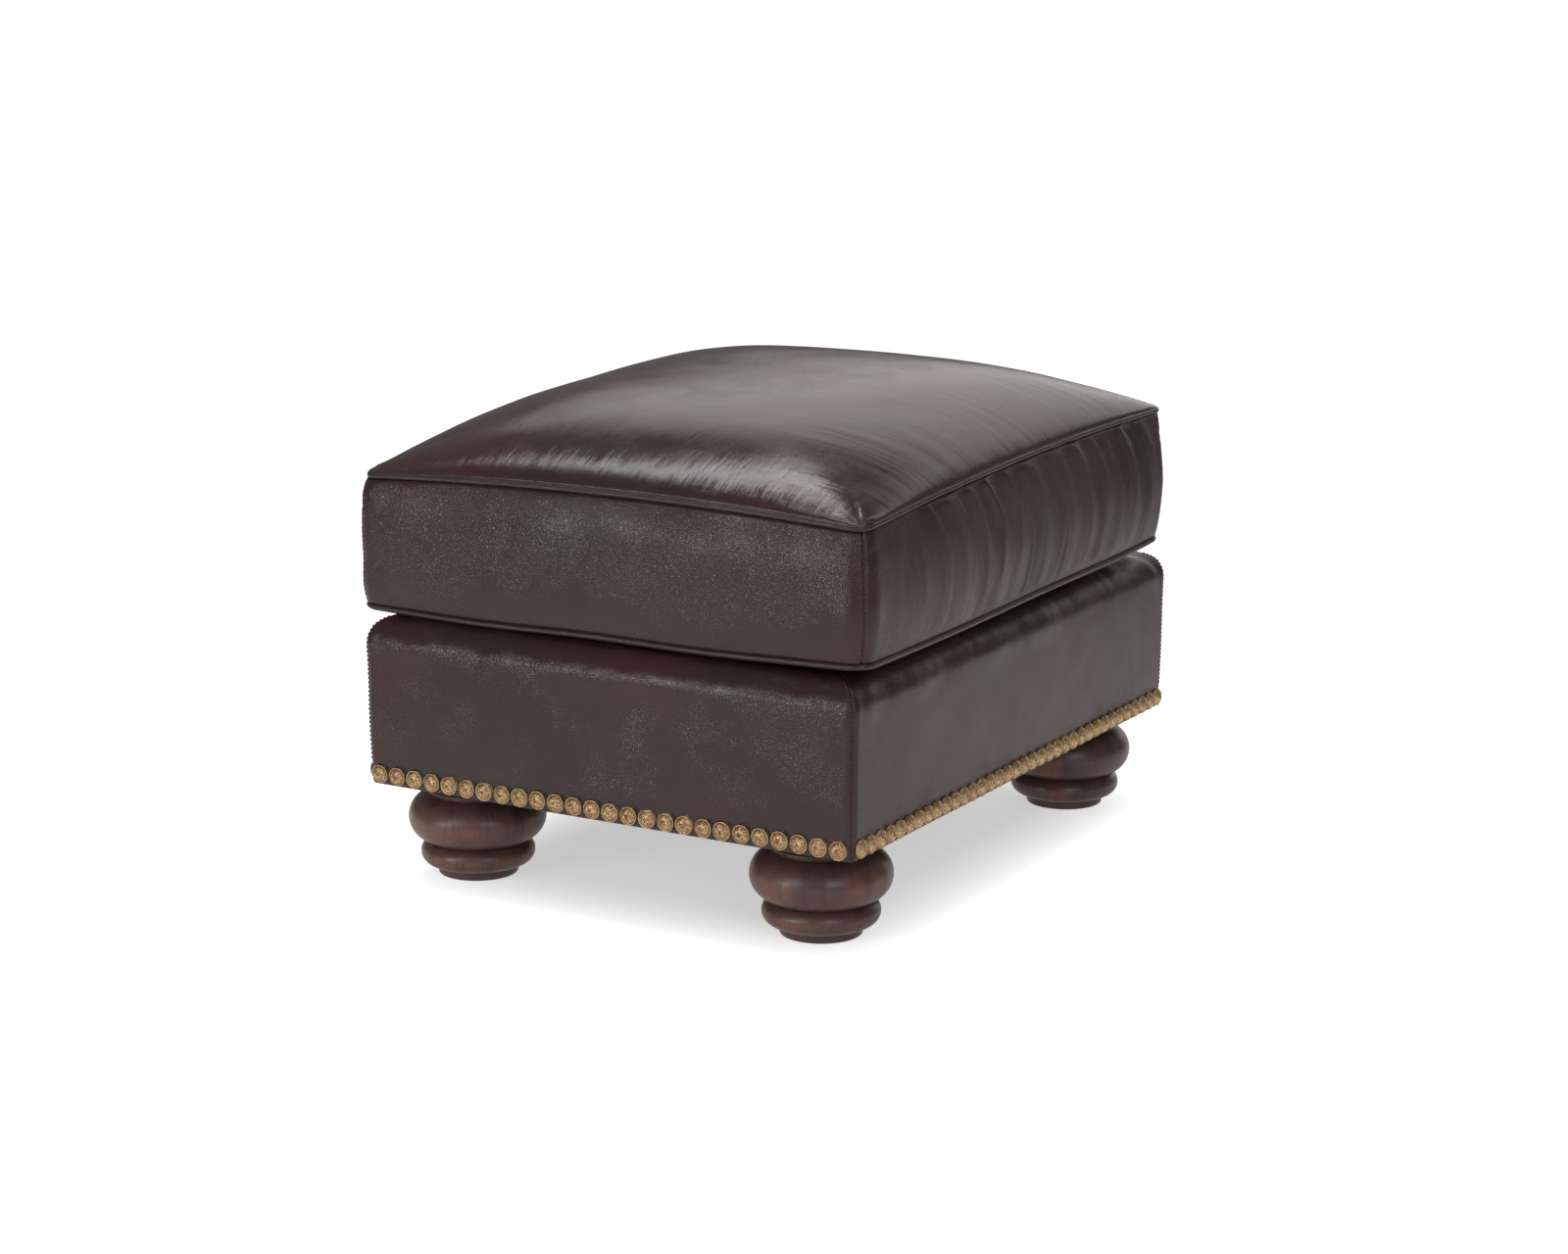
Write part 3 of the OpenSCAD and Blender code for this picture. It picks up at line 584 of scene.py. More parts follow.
def around(ax, ay, r, spacing, sides=("front", "right", "back", "left")):
    """Grid positions p, q at about equal spacing along the named sides of a rounded rectangle,
    counter-clockwise, each side from one corner's middle to the next, and the side's number."""
    out_p, out_q, who = [], [], []
    for number, side in enumerate(("front", "right", "back", "left")):
        if side not in sides:
            continue
        half = ax if side in ("front", "back") else ay
        n = int(round(2 * half / spacing))
        straight = np.linspace(-(half - r), half - r, n - 7) / half
        bend = np.tan(np.linspace(np.pi / 4, 0, 6)[:-1])
        left = -(half - r + r * bend) / half
        t = np.concatenate([left, straight, -left[::-1]])
        if side in ("back", "left"):
            t = -t
        t = t[:-1]
        fixed = np.full_like(t, -1.0 if side in ("front", "left") else 1.0)
        out_p.append(t if side in ("front", "back") else fixed)
        out_q.append(fixed if side in ("front", "back") else t)
        who.append(np.full(len(t), number))
    return np.concatenate(out_p), np.concatenate(out_q), np.concatenate(who)


def outward(x, y):
    """Unit normals of a closed plan curve, looking outwards."""
    tx = np.roll(x, -1) - np.roll(x, 1)
    ty = np.roll(y, -1) - np.roll(y, 1)
    n = np.hypot(tx, ty)
    return at(ty / n, -tx / n)


# Cloth simulation of one leather panel

CLOTH = {"quality": 6, "mass": 0.4, "tension_stiffness": 25, "compression_stiffness": 20,
         "shear_stiffness": 10, "bending_stiffness": 1.2, "air_damping": 4, "use_pressure": True,
         "uniform_pressure_force": 1.5}
CLOTH_FRAMES = 20


def relax(points, held, cap):
    """Blender's Cloth on a grid of points: the held points stay and pressure pushes the rest out. Returns
    the moved grid, no point further than cap from where it was."""
    mesh = bpy.data.meshes.new("relax")
    mesh.from_pydata(points.reshape(-1, 3).tolist(), [], grid_corners(*points.shape[:2]).tolist())
    obj = bpy.data.objects.new("relax", mesh)
    scene.collection.objects.link(obj)
    pins = obj.vertex_groups.new(name="held")
    for weight in np.unique(np.round(held, 2)):
        if weight > 0:
            pins.add(np.flatnonzero(np.round(held, 2).ravel() == weight).tolist(), float(weight), "REPLACE")
    cloth = obj.modifiers.new("cloth", "CLOTH")
    for key, value in CLOTH.items():
        setattr(cloth.settings, key, value)
    cloth.settings.vertex_group_mass = "held"
    cloth.settings.effector_weights.gravity = 0
    cloth.collision_settings.use_collision = False
    cloth.collision_settings.use_self_collision = False
    cloth.point_cache.frame_start = 1
    cloth.point_cache.frame_end = CLOTH_FRAMES
    for number in range(1, CLOTH_FRAMES + 1):
        scene.frame_set(number)
    seen = obj.evaluated_get(bpy.context.evaluated_depsgraph_get())
    moved = np.empty(points.size)
    seen.data.vertices.foreach_get("co", moved)
    moved = moved.reshape(points.shape)
    scene.frame_set(1)
    bpy.data.objects.remove(obj, do_unlink=True)
    bpy.data.meshes.remove(mesh)
    shift = moved - points
    size = np.linalg.norm(shift, axis=-1, keepdims=True)
    return points + shift * np.minimum(1, cap / np.maximum(size, 1e-9))


def soften(points, moved, times):
    """Evens out the displacement between neighbours, with the rim left where it is."""
    shift = moved - points
    for _ in range(times):
        inner = (shift[:-2, 1:-1] + shift[2:, 1:-1] + shift[1:-1, :-2] + shift[1:-1, 2:]) / 4
        shift[1:-1, 1:-1] = 0.5 * shift[1:-1, 1:-1] + 0.5 * inner
    return points + shift


def edge_weight(rows, cols):
    """1 along the rim of a grid and 0 inside it."""
    held = np.zeros((rows, cols))
    held[0] = held[-1] = 1
    held[:, 0] = held[:, -1] = 1
    return held


# Top of the cushion

def crown_height(x, y):
    """Height of the crowned top over a plan position: seam + welt + crown dome(x / a, y / b). The left
    part is a little fuller."""
    u, v = (x - C_X) / C_HALF_W, (y - C_Y) / C_HALF_D
    full = FULLER * step(-u, 0.1, 0.8) * np.maximum(0, (1 - np.abs(u) ** 8) * (1 - np.abs(v) ** 8))
    return seam_up(u, v) + SEAM_GAP + CROWN * dome(u, v) + full


def top_grid(rows, cols):
    """The crowned top, its rows and columns closer near the rim by the sine of an even step. It is brought
    down to the seam at the rounded corners by s ** 40 of what is left there."""
    a, b = (np.sin(np.linspace(-1, 1, n) * SINE_REACH) / math.sin(SINE_REACH) for n in (rows, cols))
    p, q = np.meshgrid(a, b, indexing="ij")
    s = np.maximum(np.maximum(np.abs(p), np.abs(q)), 1e-6)
    x, y = cushion_plan(p, q, 0.0)
    w = s ** 12
    x, y = w * x + (1 - w) * (C_X + p * C_HALF_W), w * y + (1 - w) * (C_Y + q * C_HALF_D)
    rx, ry = cushion_plan(p / s, q / s, 0.0)
    rest = seam_up(p / s, q / s) + SEAM_GAP - crown_height(rx, ry)
    return at(x, y, crown_height(x, y) + s ** 40 * rest), p, q


def top_gathers(x, y):
    """Small gathers that run in from each seam at right angles to it: two fields of the place along the
    seam, which die away inwards over a reach that changes along the seam."""
    right, left = C_X + C_HALF_W - x, x - C_X + C_HALF_W
    back, front = C_Y + C_HALF_D - y, y - C_Y + C_HALF_D
    lift = 0.0
    for along, off, seed, reach, height in ((y, right, 3, 0.110, 0.00026), (x, front, 4, 0.036, 0.00045),
                                            (y, left, 5, 0.035, 0.0005), (x, back, 6, 0.040, 0.0005)):
        bend = along + 0.10 * off
        folds = wave(at(bend, off * 0.10), (0.017, seed, 0.55)) \
            + wave(at(bend, off * 0.08), (0.0085, seed + 20, 0.45))
        length = reach * (1 + wave(at(along, 0 * off), (0.06, seed + 40, 0.5)))
        lift = lift + folds * height * np.exp(-off / length) * step(off, 0.0005, 0.010)
    return lift


def corner_pleats(x, y):
    """Pleats that fan out from each corner: two cosines of the angle round it, which die away inwards."""
    inset, height = 0.006, 0.0005
    lift = 0.0
    for sx, sy in ((-1, -1), (1, -1), (1, 1), (-1, 1)):
        dx = sx * (C_X + sx * (C_HALF_W - inset) - x)
        dy = sy * (C_Y + sy * (C_HALF_D - inset) - y)
        away, angle = np.hypot(dx, dy), np.arctan2(dy, dx)
        fan = np.cos((angle - 0.55) * 11.0) + 0.5 * np.cos((angle - 0.4) * 19.0)
        lift = lift + height * fan * step(away, 0.006, 0.016) * ridge(away, 0.026)
    return lift


def make_cushion_top():
    """The crowned top as the simulation leaves it, with gathers, pleats and the soft hollows of used
    leather, all raised along its normals."""
    coarse, p, q = top_grid(*TOP_COARSE)
    moved = soften(coarse, relax(coarse, edge_weight(*TOP_COARSE), TOP_CAP), 12)
    fine, p, q = top_grid(*TOP_FINE)
    row_at, col_at = (np.linspace(0, n - 1, m) for n, m in zip(TOP_COARSE, TOP_FINE))
    fine = fine + resample(moved - coarse, row_at, col_at)
    n = grid_normals(fine)
    x, y = fine[..., 0], fine[..., 1]
    edge = 1 - np.maximum(np.abs(p), np.abs(q))
    lift = top_gathers(x, y) + corner_pleats(x, y)
    lift = lift + wave(fine, TOP_HOLLOWS) * step(edge, 0.02, 0.25)
    lift = lift + wave(fine, TOP_RIPPLES) * step(edge, 0.01, 0.1)
    points = fine + n * lift[..., None]
    cover("cushion_top", points, top_leather, "cushion", ("cover_top", "wrap_top"))
    return points, n


# Sides of the cushion

def box_grid(p, q, levels):
    """Boxing between the two welts: plan pushed out by bulge (1 - |2 v - 1| ** 2.6), flatter and squarer
    on the left."""
    seam, rise = seam_low(p, q)[:, None], (seam_up(p, q) - seam_low(p, q))[:, None]
    z = seam + SEAM_GAP + levels[None] * (rise - 2 * SEAM_GAP)
    v = (z - seam) / rise
    left = step(-p, 0.85, 1.0)[:, None]
    right = step(p, 0.85, 1.0)[:, None] * step(v, 0.4, 0.9)
    k = -(BULGE - 0.002 * left - 0.003 * right) * (1 - np.abs(2 * v - 1) ** (2.6 + 3.4 * left))
    x, y = cushion_plan(p[:, None], q[:, None], k)
    return at(x - drift(p[:, None], q[:, None], v), y, z)


def corner_gap(p, q):
    """Distance along the plan from the nearest corner seam, by the plan's own diagonal."""
    x, y = cushion_plan(p, q, 0.0)
    best = np.full(p.shape, np.inf)
    inset = C_R * (1 - math.sqrt(0.5))
    for sx in (-1, 1):
        for sy in (-1, 1):
            cx, cy = C_X + sx * (C_HALF_W - inset), C_Y + sy * (C_HALF_D - inset)
            best = np.minimum(best, np.hypot(x - cx, y - cy))
    return best


def make_boxing():
    """Left, front and right boxing in one strip, from the back left corner round to the back right."""
    parts = [around(C_HALF_W, C_HALF_D, C_R, BOX_STEP, (s,)) for s in ("left", "front", "right")]
    p, q = (np.concatenate([part[k] for part in parts] + [[1.0]]) for k in (0, 1))
    rows = len(p)
    coarse = box_grid(p, q, np.linspace(0, 1, BOX_COARSE))
    held = np.maximum(edge_weight(rows, BOX_COARSE), 0.7 * ridge(corner_gap(p, q), 0.004)[:, None])
    moved = soften(coarse, relax(coarse, held, BOX_CAP), 10)
    row_at = finer(rows - 1, np.cumsum([0] + [len(part[0]) for part in parts]))
    shift = resample(moved - coarse, row_at, np.linspace(0, BOX_COARSE - 1, BOX_FINE))
    p, q = (np.interp(row_at, np.arange(rows), a) for a in (p, q))
    v = np.linspace(0, 1, BOX_FINE)
    fine = box_grid(p, q, v) + shift
    n = grid_normals(fine)
    y, z = fine[..., 1], fine[..., 2]
    gap = corner_gap(p, q)[:, None]
    body = step(v, 0.0, 0.08) * step(1 - v, 0.0, 0.05)
    # upright folds of the right side, whose ends lean forward above and below v = 0.4
    right = (np.abs(p - 1) < 1e-6)[:, None]
    fan = y + 0.11 * np.clip(v - 0.4, 0, 1) ** 2 + 0.10 * np.clip(0.4 - v, 0, 1) ** 2
    sharp = 1.2 * (0.5 - np.abs(field(at(fan, z * 0.10), 0.013, 12)))
    folds = field(at(fan, z * 0.06), 0.019, 11) + sharp
    where = right * step(y, -0.30, -0.18) * step(0.325 - y, 0.0, 0.05)
    lift = folds * where * body * FOLD_H * (0.45 + 0.55 * step(v, 0.15, 0.75))
    # faint ones everywhere else
    arc = run_length(fine[:, BOX_FINE // 2])[:, None]
    lift += wave(at(arc, z * 0.25), BOX_CALM) * (1 - where) * body
    lift += wave(fine, BOX_SWELL) * body
    lift += wave(fine, BOX_RUMPLE) * body * ridge(gap, 0.07)
    # corner seam with its puckers
    lift -= SEAM_DEEP * ridge(gap, BOX_SEAM_W)
    lift += PUCKER_H * ridge(gap - 0.005, 0.004) * np.cos(z / PUCKER_STEP * 2 * np.pi) * body
    # creases that run down and away from the upper corners
    for drop, deep in ((0.030, 0.00112), (0.036, 0.00064)):
        crease = (seam_up(p, q)[:, None] - drop - z) + gap * 0.9 * (1 - gap / 0.03)
        lift -= deep * ridge(crease, 0.0022) * ridge(gap - 0.006, 0.009)
    points = fine + n * lift[..., None]
    cover("cushion_boxing", points, box_leather, "cushion",
          ("boxing_left", "boxing_front", "boxing_right", "wrap_side"))
    return points, n


def make_zip_strips():
    """Upper and lower strip of the back, each with its edge turned in at the slot. Past the zip's ends the
    slot closes and the strips are sewn together."""
    p, q, _ = around(C_HALF_W, C_HALF_D, C_R, STRIP_STEP, ("back",))
    p, q = np.append(p, -1.0), np.append(q, 1.0)
    gap = corner_gap(p, q)[:, None]
    along = np.abs(cushion_plan(p, q, 0.0)[0] - C_X)
    half_slot = SLOT_SHUT + (SLOT_H - SLOT_SHUT) * step(ZIP_L / 2 + SLOT_PAST - along, 0.0, SLOT_PAST)
    seam, rise = seam_low(p, q), seam_up(p, q) - seam_low(p, q)
    upper, lower = ZIP_Z + half_slot, ZIP_Z - half_slot
    t = np.linspace(0, 1, STRIP_COLS)
    for name, node, start, end, cut in (
            ("zip_strip_upper", "zip_boxing_upper", upper, seam + rise - SEAM_GAP, upper),
            ("zip_strip_lower", "zip_boxing_lower", seam + SEAM_GAP, lower, lower)):
        z = start[:, None] + t[None] * (end - start)[:, None]
        v = (z - seam[:, None]) / rise[:, None]
        x, y = cushion_plan(p[:, None], q[:, None], -BULGE * 4 * v * (1 - v))
        g = at(x, y, z)
        lift = wave(g, STRIP_SWELL) * step(t, 0, 0.2) * step(1 - t, 0, 0.2)
        lift = lift - SEAM_DEEP * ridge(gap, STRIP_SEAM_W)
        # the turned edge swells beside the slot, drops into it and is pressed down by its own seam
        edge = np.abs(z - cut[:, None])
        lift = lift + 0.0007 * ridge(edge - 0.0018, 0.0018) - 0.0012 * ridge(edge, 0.0008)
        lift = lift - 0.0006 * ridge(edge - 0.0055, 0.0009)
        points = g + grid_normals(g) * lift[..., None]
        cover(name, points, leather, "cushion", (node,))


def make_cushion_bottom():
    """Underside: flat where it rests, curved up to the lower seam."""
    p, q = square(*BOTTOM_GRID)
    x, y = cushion_plan(p, q, 0.0)
    flat = np.maximum(0, (1 - np.abs(p) ** 6) * (1 - np.abs(q) ** 6)) ** 0.6
    edge = seam_low(p, q) - SEAM_GAP
    g = at(x - drift(p, q, 0.0), y, edge - (edge - REST_Z) * flat)
    g[..., 2] += (field(g, 0.06, 31) + 1) * 0.0006 * flat
    cover("cushion_bottom", g[::-1], leather, "cushion", ("cover_bottom", "wrap_bottom"))


# Welts

def make_welt(name, seam, v, splice_at, node, seed):
    """Cord covered in leather: a slightly uneven tube along the seam at height v of the cushion, with a
    slanting groove at each splice, where the strip's ends meet."""
    p, q, _ = around(C_HALF_W, C_HALF_D, C_R, WELT_STEP)
    x, y = cushion_plan(p, q, WELT_IN)
    path = at(x - drift(p, q, v), y, seam(p, q))
    t = np.linspace(0, 2 * np.pi, WELT_SIDES, endpoint=False)
    radius = CORD + wave(path[:, None] + at(0 * t, 0 * t, t * 0.004)[None], (0.012, seed, WELT_WOBBLE))
    for spot in splice_at:
        near = int(np.argmin(np.linalg.norm(path - np.array(spot), axis=1)))
        arc = (np.arange(len(path)) - near) * WELT_STEP
        radius = radius - SPLICE_DEEP * ridge(arc[:, None] - SPLICE_SLANT * np.sin(t)[None], SPLICE_W)
    rings = tube(path, outward(x, y), WELT_SIDES, radius)
    faces = grid_corners(len(path), WELT_SIDES, True, True)[:, ::-1]
    piece(name, rings, faces, welt_leather_painted_lighter, "cushion", (node,))


# Stitches

def stitch_shape(length, radius):
    """A short thread bar: five rings along X, full in the middle and dipping at its ends."""
    rings, sides = 5, 6
    u = np.array([-0.5, -0.4, 0.0, 0.4, 0.5]) * length
    r = np.array([0.35, 0.9, 1.0, 0.9, 0.35]) * radius
    sink = np.array([-1.1, -0.35, 0.0, -0.35, -1.1]) * radius
    t = np.linspace(0, 2 * np.pi, sides, endpoint=False)
    points = at(u[:, None], r[:, None] * np.cos(t)[None], r[:, None] * np.sin(t)[None] + sink[:, None])
    return points.reshape(-1, 3), grid_corners(rings, sides, False, True)


def stitch_row(path, normals, pitch, length, height):
    """Places for stitches along a path, each lying at the given height on the surface: rows of its
    direction, its side and its normal, and its centre."""
    arc = run_length(path)
    middle = np.arange(pitch / 2, arc[-1], pitch)

    def along(values, where):
        """Values at given lengths along the path, in straight lines between its points."""
        return np.stack([np.interp(where, arc, values[:, k]) for k in range(3)], -1)

    centre, normal = along(path, middle), along(normals, middle)
    tangent = unit(along(path, middle + length / 2) - along(path, middle - length / 2))
    normal = unit(normal - tangent * (normal * tangent).sum(1, keepdims=True))
    side = np.cross(normal, tangent)
    return [(np.stack([t, s, n], -1), c + n * height) for t, s, n, c in zip(tangent, side, normal, centre)]


def nearest_row(points, x, y):
    """Row of a grid that passes nearest to a plan position, measured in its column 20."""
    return int(np.argmin(np.hypot(points[:, 20, 0] - x, points[:, 20, 1] - y)))


def make_stitches(top, top_out, box, box_out, base, base_out):
    """Thread in the front corner seams of the cushion, just above the upper welt, and in the four corner
    seams of the base."""
    bar, bar_faces = stitch_shape(STITCH_L, STITCH_R)
    places = []
    for sx in (-1, 1):
        row = nearest_row(box, C_X + sx * C_HALF_W, C_Y - C_HALF_D)
        places += stitch_row(box[row, 2:-2], box_out[row, 2:-2], STITCH_STEP, STITCH_L,
                             BOX_STITCH_UP)
    copies("corner_stitches", bar, bar_faces, places, thread, "cushion")
    places = []
    for line, out in ((top[:, 1], top_out[:, 1]), (top[-2, :], top_out[-2, :]),
                      (top[::-1, -2], top_out[::-1, -2]), (top[1, ::-1], top_out[1, ::-1])):
        places += stitch_row(line[4:-4], out[4:-4], FINE_STITCH_STEP, FINE_STITCH_L, FINE_STITCH_UP)
    fine_bar = stitch_shape(FINE_STITCH_L, FINE_STITCH_R)[0]
    copies("top_stitches", fine_bar, bar_faces, places, thread, "cushion")
    places = []
    low = int(np.argmax(base_profile()[:, 1] > HEM_Z + NAIL_BAND))
    high = int(np.argmax(base_profile()[:, 0] > SEAM_END))
    for sx in (-1, 1):
        for sy in (-1, 1):
            row = nearest_row(base, sx * HALF_W, sy * HALF_D)
            places += stitch_row(base[row, low:high], base_out[row, low:high], STITCH_STEP, STITCH_L,
                                 BASE_STITCH_UP)
    copies("base_stitches", bar, bar_faces, places, thread, "base")


# Leather of the base

def face_in(z):
    """Inset of the base's face at a height: HEM_IN at the hem, 0 at the foot of the edge roll."""
    return HEM_IN * (EDGE_Z - z) / (EDGE_Z - HEM_Z - HEM_R)


def base_profile():
    """Inset and height from the hem's inner edge, under the frame, up the face and over the roll: two
    quarter circles joined by straight parts."""
    hem = np.radians([22.5, 45, 67.5, 90])
    z = np.linspace(HEM_Z + HEM_R, EDGE_Z, 28)[1:]
    roll = np.radians(np.linspace(0, 90, 15)[1:])
    parts = ((np.linspace(HEM_IN + HEM_W, HEM_IN + HEM_R, 4), np.full(4, HEM_Z)),
             (HEM_IN + HEM_R - HEM_R * np.sin(hem), HEM_Z + HEM_R - HEM_R * np.cos(hem)),
             (face_in(z), z),
             (EDGE_R - EDGE_R * np.cos(roll), EDGE_Z + EDGE_R * np.sin(roll)),
             (np.linspace(EDGE_R, BORDER, 10)[1:], np.full(9, DECK_Z)))
    return np.concatenate([np.stack(part, -1) for part in parts])


def make_base_leather():
    """Four panels seamed at the corners: the profile carried round the plan."""
    p, q, side = around(HALF_W, HALF_D, BASE_R, BASE_STEP)
    seams = np.concatenate([np.flatnonzero(np.diff(side, prepend=-1)), [len(p)]])
    row_at = finer(len(p), seams)[:-1]
    p, q = (np.interp(row_at, np.arange(len(a) + 1), np.append(a, a[0])) for a in (p, q))
    front_or_back = (side[np.floor(row_at).astype(int)] % 2 == 0)[:, None]
    prof = base_profile()
    k = prof[:, 0][None]
    x, y = rim(p[:, None], q[:, None], HALF_W - k, HALF_D - k, np.maximum(BASE_R - k, 0.0008))
    g = at(x, y, prof[:, 1][None])
    n = grid_normals(g, True)
    z = g[..., 2]
    from_x, from_y = HALF_W - np.abs(x), HALF_D - np.abs(y)
    near = (from_x < CORNER_REACH) & (from_y < CORNER_REACH)
    gap = np.where(near, np.abs(from_x - from_y) / math.sqrt(2), np.inf)
    face = step(z, HEM_Z + NAIL_BAND, HEM_Z + 0.06) * step(EDGE_Z - z, -0.01, 0.03)
    over = step(z, EDGE_Z - 0.018, EDGE_Z + 0.010) * step(0.060 - k, 0.0, 0.03)
    lift = wave(g, BASE_SWELL) * face
    lift += wave(g, BASE_RIPPLES) * face
    # dents along the roll where the leather is pulled over it
    arc = np.where(front_or_back, x, y)
    pull = field(at(arc, z * 0.35), 0.024, 43) + 0.5 * field(at(arc, z * 0.5), 0.011, 44)
    over_mid = over * (1 - 0.8 * ridge(gap, 0.030))
    lift += pull * over_mid * np.where(front_or_back, 0.0009, 0.0005)
    lift += wave(at(arc, z * 0.5), ROLL_PULLS) * over_mid
    lift += wave(g, ROLL_CREASES) * over_mid
    # corner seams with their puckers
    lift -= SEAM_DEEP * ridge(gap, BASE_SEAM_W) * (z > HEM_Z + 0.001)
    lift += PUCKER_H * ridge(gap - 0.004, 0.004) * np.cos(z / PUCKER_STEP * 2 * np.pi) * face
    # pleat at the top of each corner
    lift -= 0.0005 * ridge(gap - 0.014, 0.005) * over
    lift += 0.0004 * ridge(gap - 0.023, 0.006) * over
    # shallow groove pressed in by each row of nails
    lift -= 0.0005 * ridge(z - NAIL_Z, 0.008) * (k < 0.01)
    points = g + n * lift[..., None]
    points[..., 2] = np.minimum(points[..., 2], DECK_Z)
    cover("base_leather", points, leather, "base",
          ("panel_front", "panel_right", "panel_back", "panel_left", "side_padding", "edge_roll"),
          wrap=True)
    return points, n


# Nails

def nail_shape(seed, radius):
    """Hammered dome inside NAIL_GROOVE of the radius, a groove round it and a rolled rim: the dome falls by
    r ** 2.2 to DOME_EDGE of its height, the rim is half an ellipse of RIM_TOP. Points, triangles of the tip
    and the back, and squares between the rings."""
    r = np.array([0.15, 0.30, 0.45, 0.58, 0.69, 0.77, 0.82, 0.865, 0.91, 0.955, 0.985, 1.0])
    t = np.linspace(0, 2 * np.pi, NAIL_SIDES, endpoint=False)
    rr, tt = np.meshgrid(r, t, indexing="ij")
    x, z = rr * np.cos(tt), rr * np.sin(tt)
    inner = DOME_EDGE + (1 - DOME_EDGE) * np.maximum(0, 1 - (rr / 0.84) ** 2.2)
    outer = RIM_TOP * np.sqrt(np.maximum(0, 1 - ((rr - 0.90) / 0.102) ** 2))
    h = np.where(rr < NAIL_GROOVE, inner, outer) * NAIL_H - GROOVE_DEEP * ridge(rr - NAIL_GROOVE, 0.03)
    dents = wave(at(x, z, seed * 3.7), NAIL_DENTS) + wave(at(x, z, seed * 1.9), NAIL_PITS)
    h = h + dents * step(0.82 - rr, 0.0, 0.1)
    h[-1] = -0.0002
    ring = at(x * radius, -h, z * radius).reshape(-1, 3)
    points = np.concatenate([[[0, -NAIL_H, 0]], ring, [[0, 0.0003, 0]]])
    last = 1 + (len(r) - 1) * NAIL_SIDES
    ends = np.concatenate([hub_corners(0, 1, NAIL_SIDES),
                           hub_corners(len(points) - 1, last, NAIL_SIDES, True)])
    return points, ends, grid_corners(len(r), NAIL_SIDES, False, True) + 1


def make_nail_row(where, count, half_along, half_out, angle, radius, finish):
    """The nails of the named side, each spun, dented and shifted in its own way, set at equal steps along
    the front and turned round Z to that side."""
    step_len = (2 * half_along - 2 * NAIL_EDGE) / (count - 1)
    c, s = math.cos(angle), math.sin(angle)
    to_side = np.array([[c, -s, 0], [s, c, 0], [0, 0, 1.0]])
    points, faces = [], []
    for i in range(count):
        seed = i * 7 + int(angle * 10)
        shape, ends, body = nail_shape(seed, radius)
        spin = (seed * 2.399) % (2 * np.pi)
        c, s = math.cos(spin), math.sin(spin)
        shape = shape @ np.array([[c, 0, s], [0, 1, 0], [-s, 0, c]]).T
        jitter = np.array([math.sin(seed * 3.1) * NAIL_OFF_ALONG, 0, math.cos(seed * 5.3) * NAIL_OFF_UP])
        place = np.array([-half_along + NAIL_EDGE + i * step_len, -half_out + face_in(NAIL_Z), NAIL_Z])
        points.append((shape + jitter + place) @ to_side.T)
        faces += (ends + i * len(shape)).tolist()
        faces += (body + i * len(shape)).tolist()
    piece("nail_row_" + where, np.concatenate(points), faces, finish, "base",
          ("nails_" + where,))


# Feet

def foot_profile():
    """Radius and height of the turned foot, from the floor up: disc, cove, small bead, fillet, large
    bead, quirk and collar. Each bead is an arc of its own circle."""
    def arc(cr, cz, r, a, b, n):
        """Arc of radius r about cr, cz, from angle a to b in n points."""
        t = np.radians(np.linspace(a, b, n))
        return np.stack([cr + r * np.cos(t), cz + r * np.sin(t)], -1)

    disc = [[[0.0, 0.0], [0.020, 0.0], [0.0390, 0.0]],
            arc(0.0393, 0.0014, 0.0014, -90, 0, 4), [[0.0407, 0.0050]],
            arc(0.0397, 0.0082, 0.0010, 0, 90, 4)]
    cove = [[[0.0387, 0.0094], [0.0387, 0.0100]]]
    bead = [arc(0.0454, 0.0230, 0.0129, -100, 76, 24)]
    fillet = [[[0.0484, 0.03560], [0.0502, 0.0360]]]
    bun = [arc(0.0449, 0.0602, 0.0254, -70, 72, 30)]
    quirk = [[[0.0512, 0.0846], [0.0490, 0.0856], [0.0484, 0.0868]],
             arc(0.0502, 0.0892, 0.0018, -120, 90, 8), [[0.0492, 0.0912], [0.0489, 0.0924]]]
    collar = [arc(0.0500, 0.0940, 0.0010, -90, 0, 3), [[0.0512, 0.1013], [0.0, 0.1013]]]
    return np.concatenate(disc + cove + bead + fillet + bun + quirk + collar)


def make_foot(name, sx, sy, node, phase):
    """The profile turned round the foot's own axis, closed by a middle point below and above."""
    prof = foot_profile()
    t = np.linspace(0, 2 * np.pi, FOOT_SIDES, endpoint=False) + phase
    radius, height = prof[1:-1, 0][:, None], prof[1:-1, 1][:, None]
    cx, cy = sx * (HALF_W - FOOT_IN), sy * (HALF_D - FOOT_IN)
    g = at(cx + radius * np.cos(t), cy + radius * np.sin(t), height)
    points = np.concatenate([g.reshape(-1, 3), [[cx, cy, prof[0, 1]], [cx, cy, prof[-1, 1]]]])
    rows = len(radius)
    faces = grid_corners(rows, FOOT_SIDES, False, True)[:, ::-1].tolist()
    faces += hub_corners(rows * FOOT_SIDES, 0, FOOT_SIDES).tolist()
    faces += hub_corners(rows * FOOT_SIDES + 1, (rows - 1) * FOOT_SIDES, FOOT_SIDES, True).tolist()
    piece(name, points, faces, turned_wood, "base", (node,))


# Deck and zip

def make_deck():
    """Deck cloth: a sheet sewn inside the leather border, a little fuller between."""
    p, q = square(*DECK_GRID)
    x, y = p * (HALF_W - BORDER + DECK_TUCK), q * (HALF_D - BORDER + DECK_TUCK)
    full = DECK_FULL * step(1 - np.maximum(np.abs(p), np.abs(q)), 0.05, 0.3)
    z = DECK_Z - LEATHER - 0.0002 + full
    g = at(x, y, z + wave(at(x, y, z), DECK_SWELL))
    cover("deck_sheet", g, deck_weave, "base", ("deck_cloth", "deck_pad"), DECK_THICK)


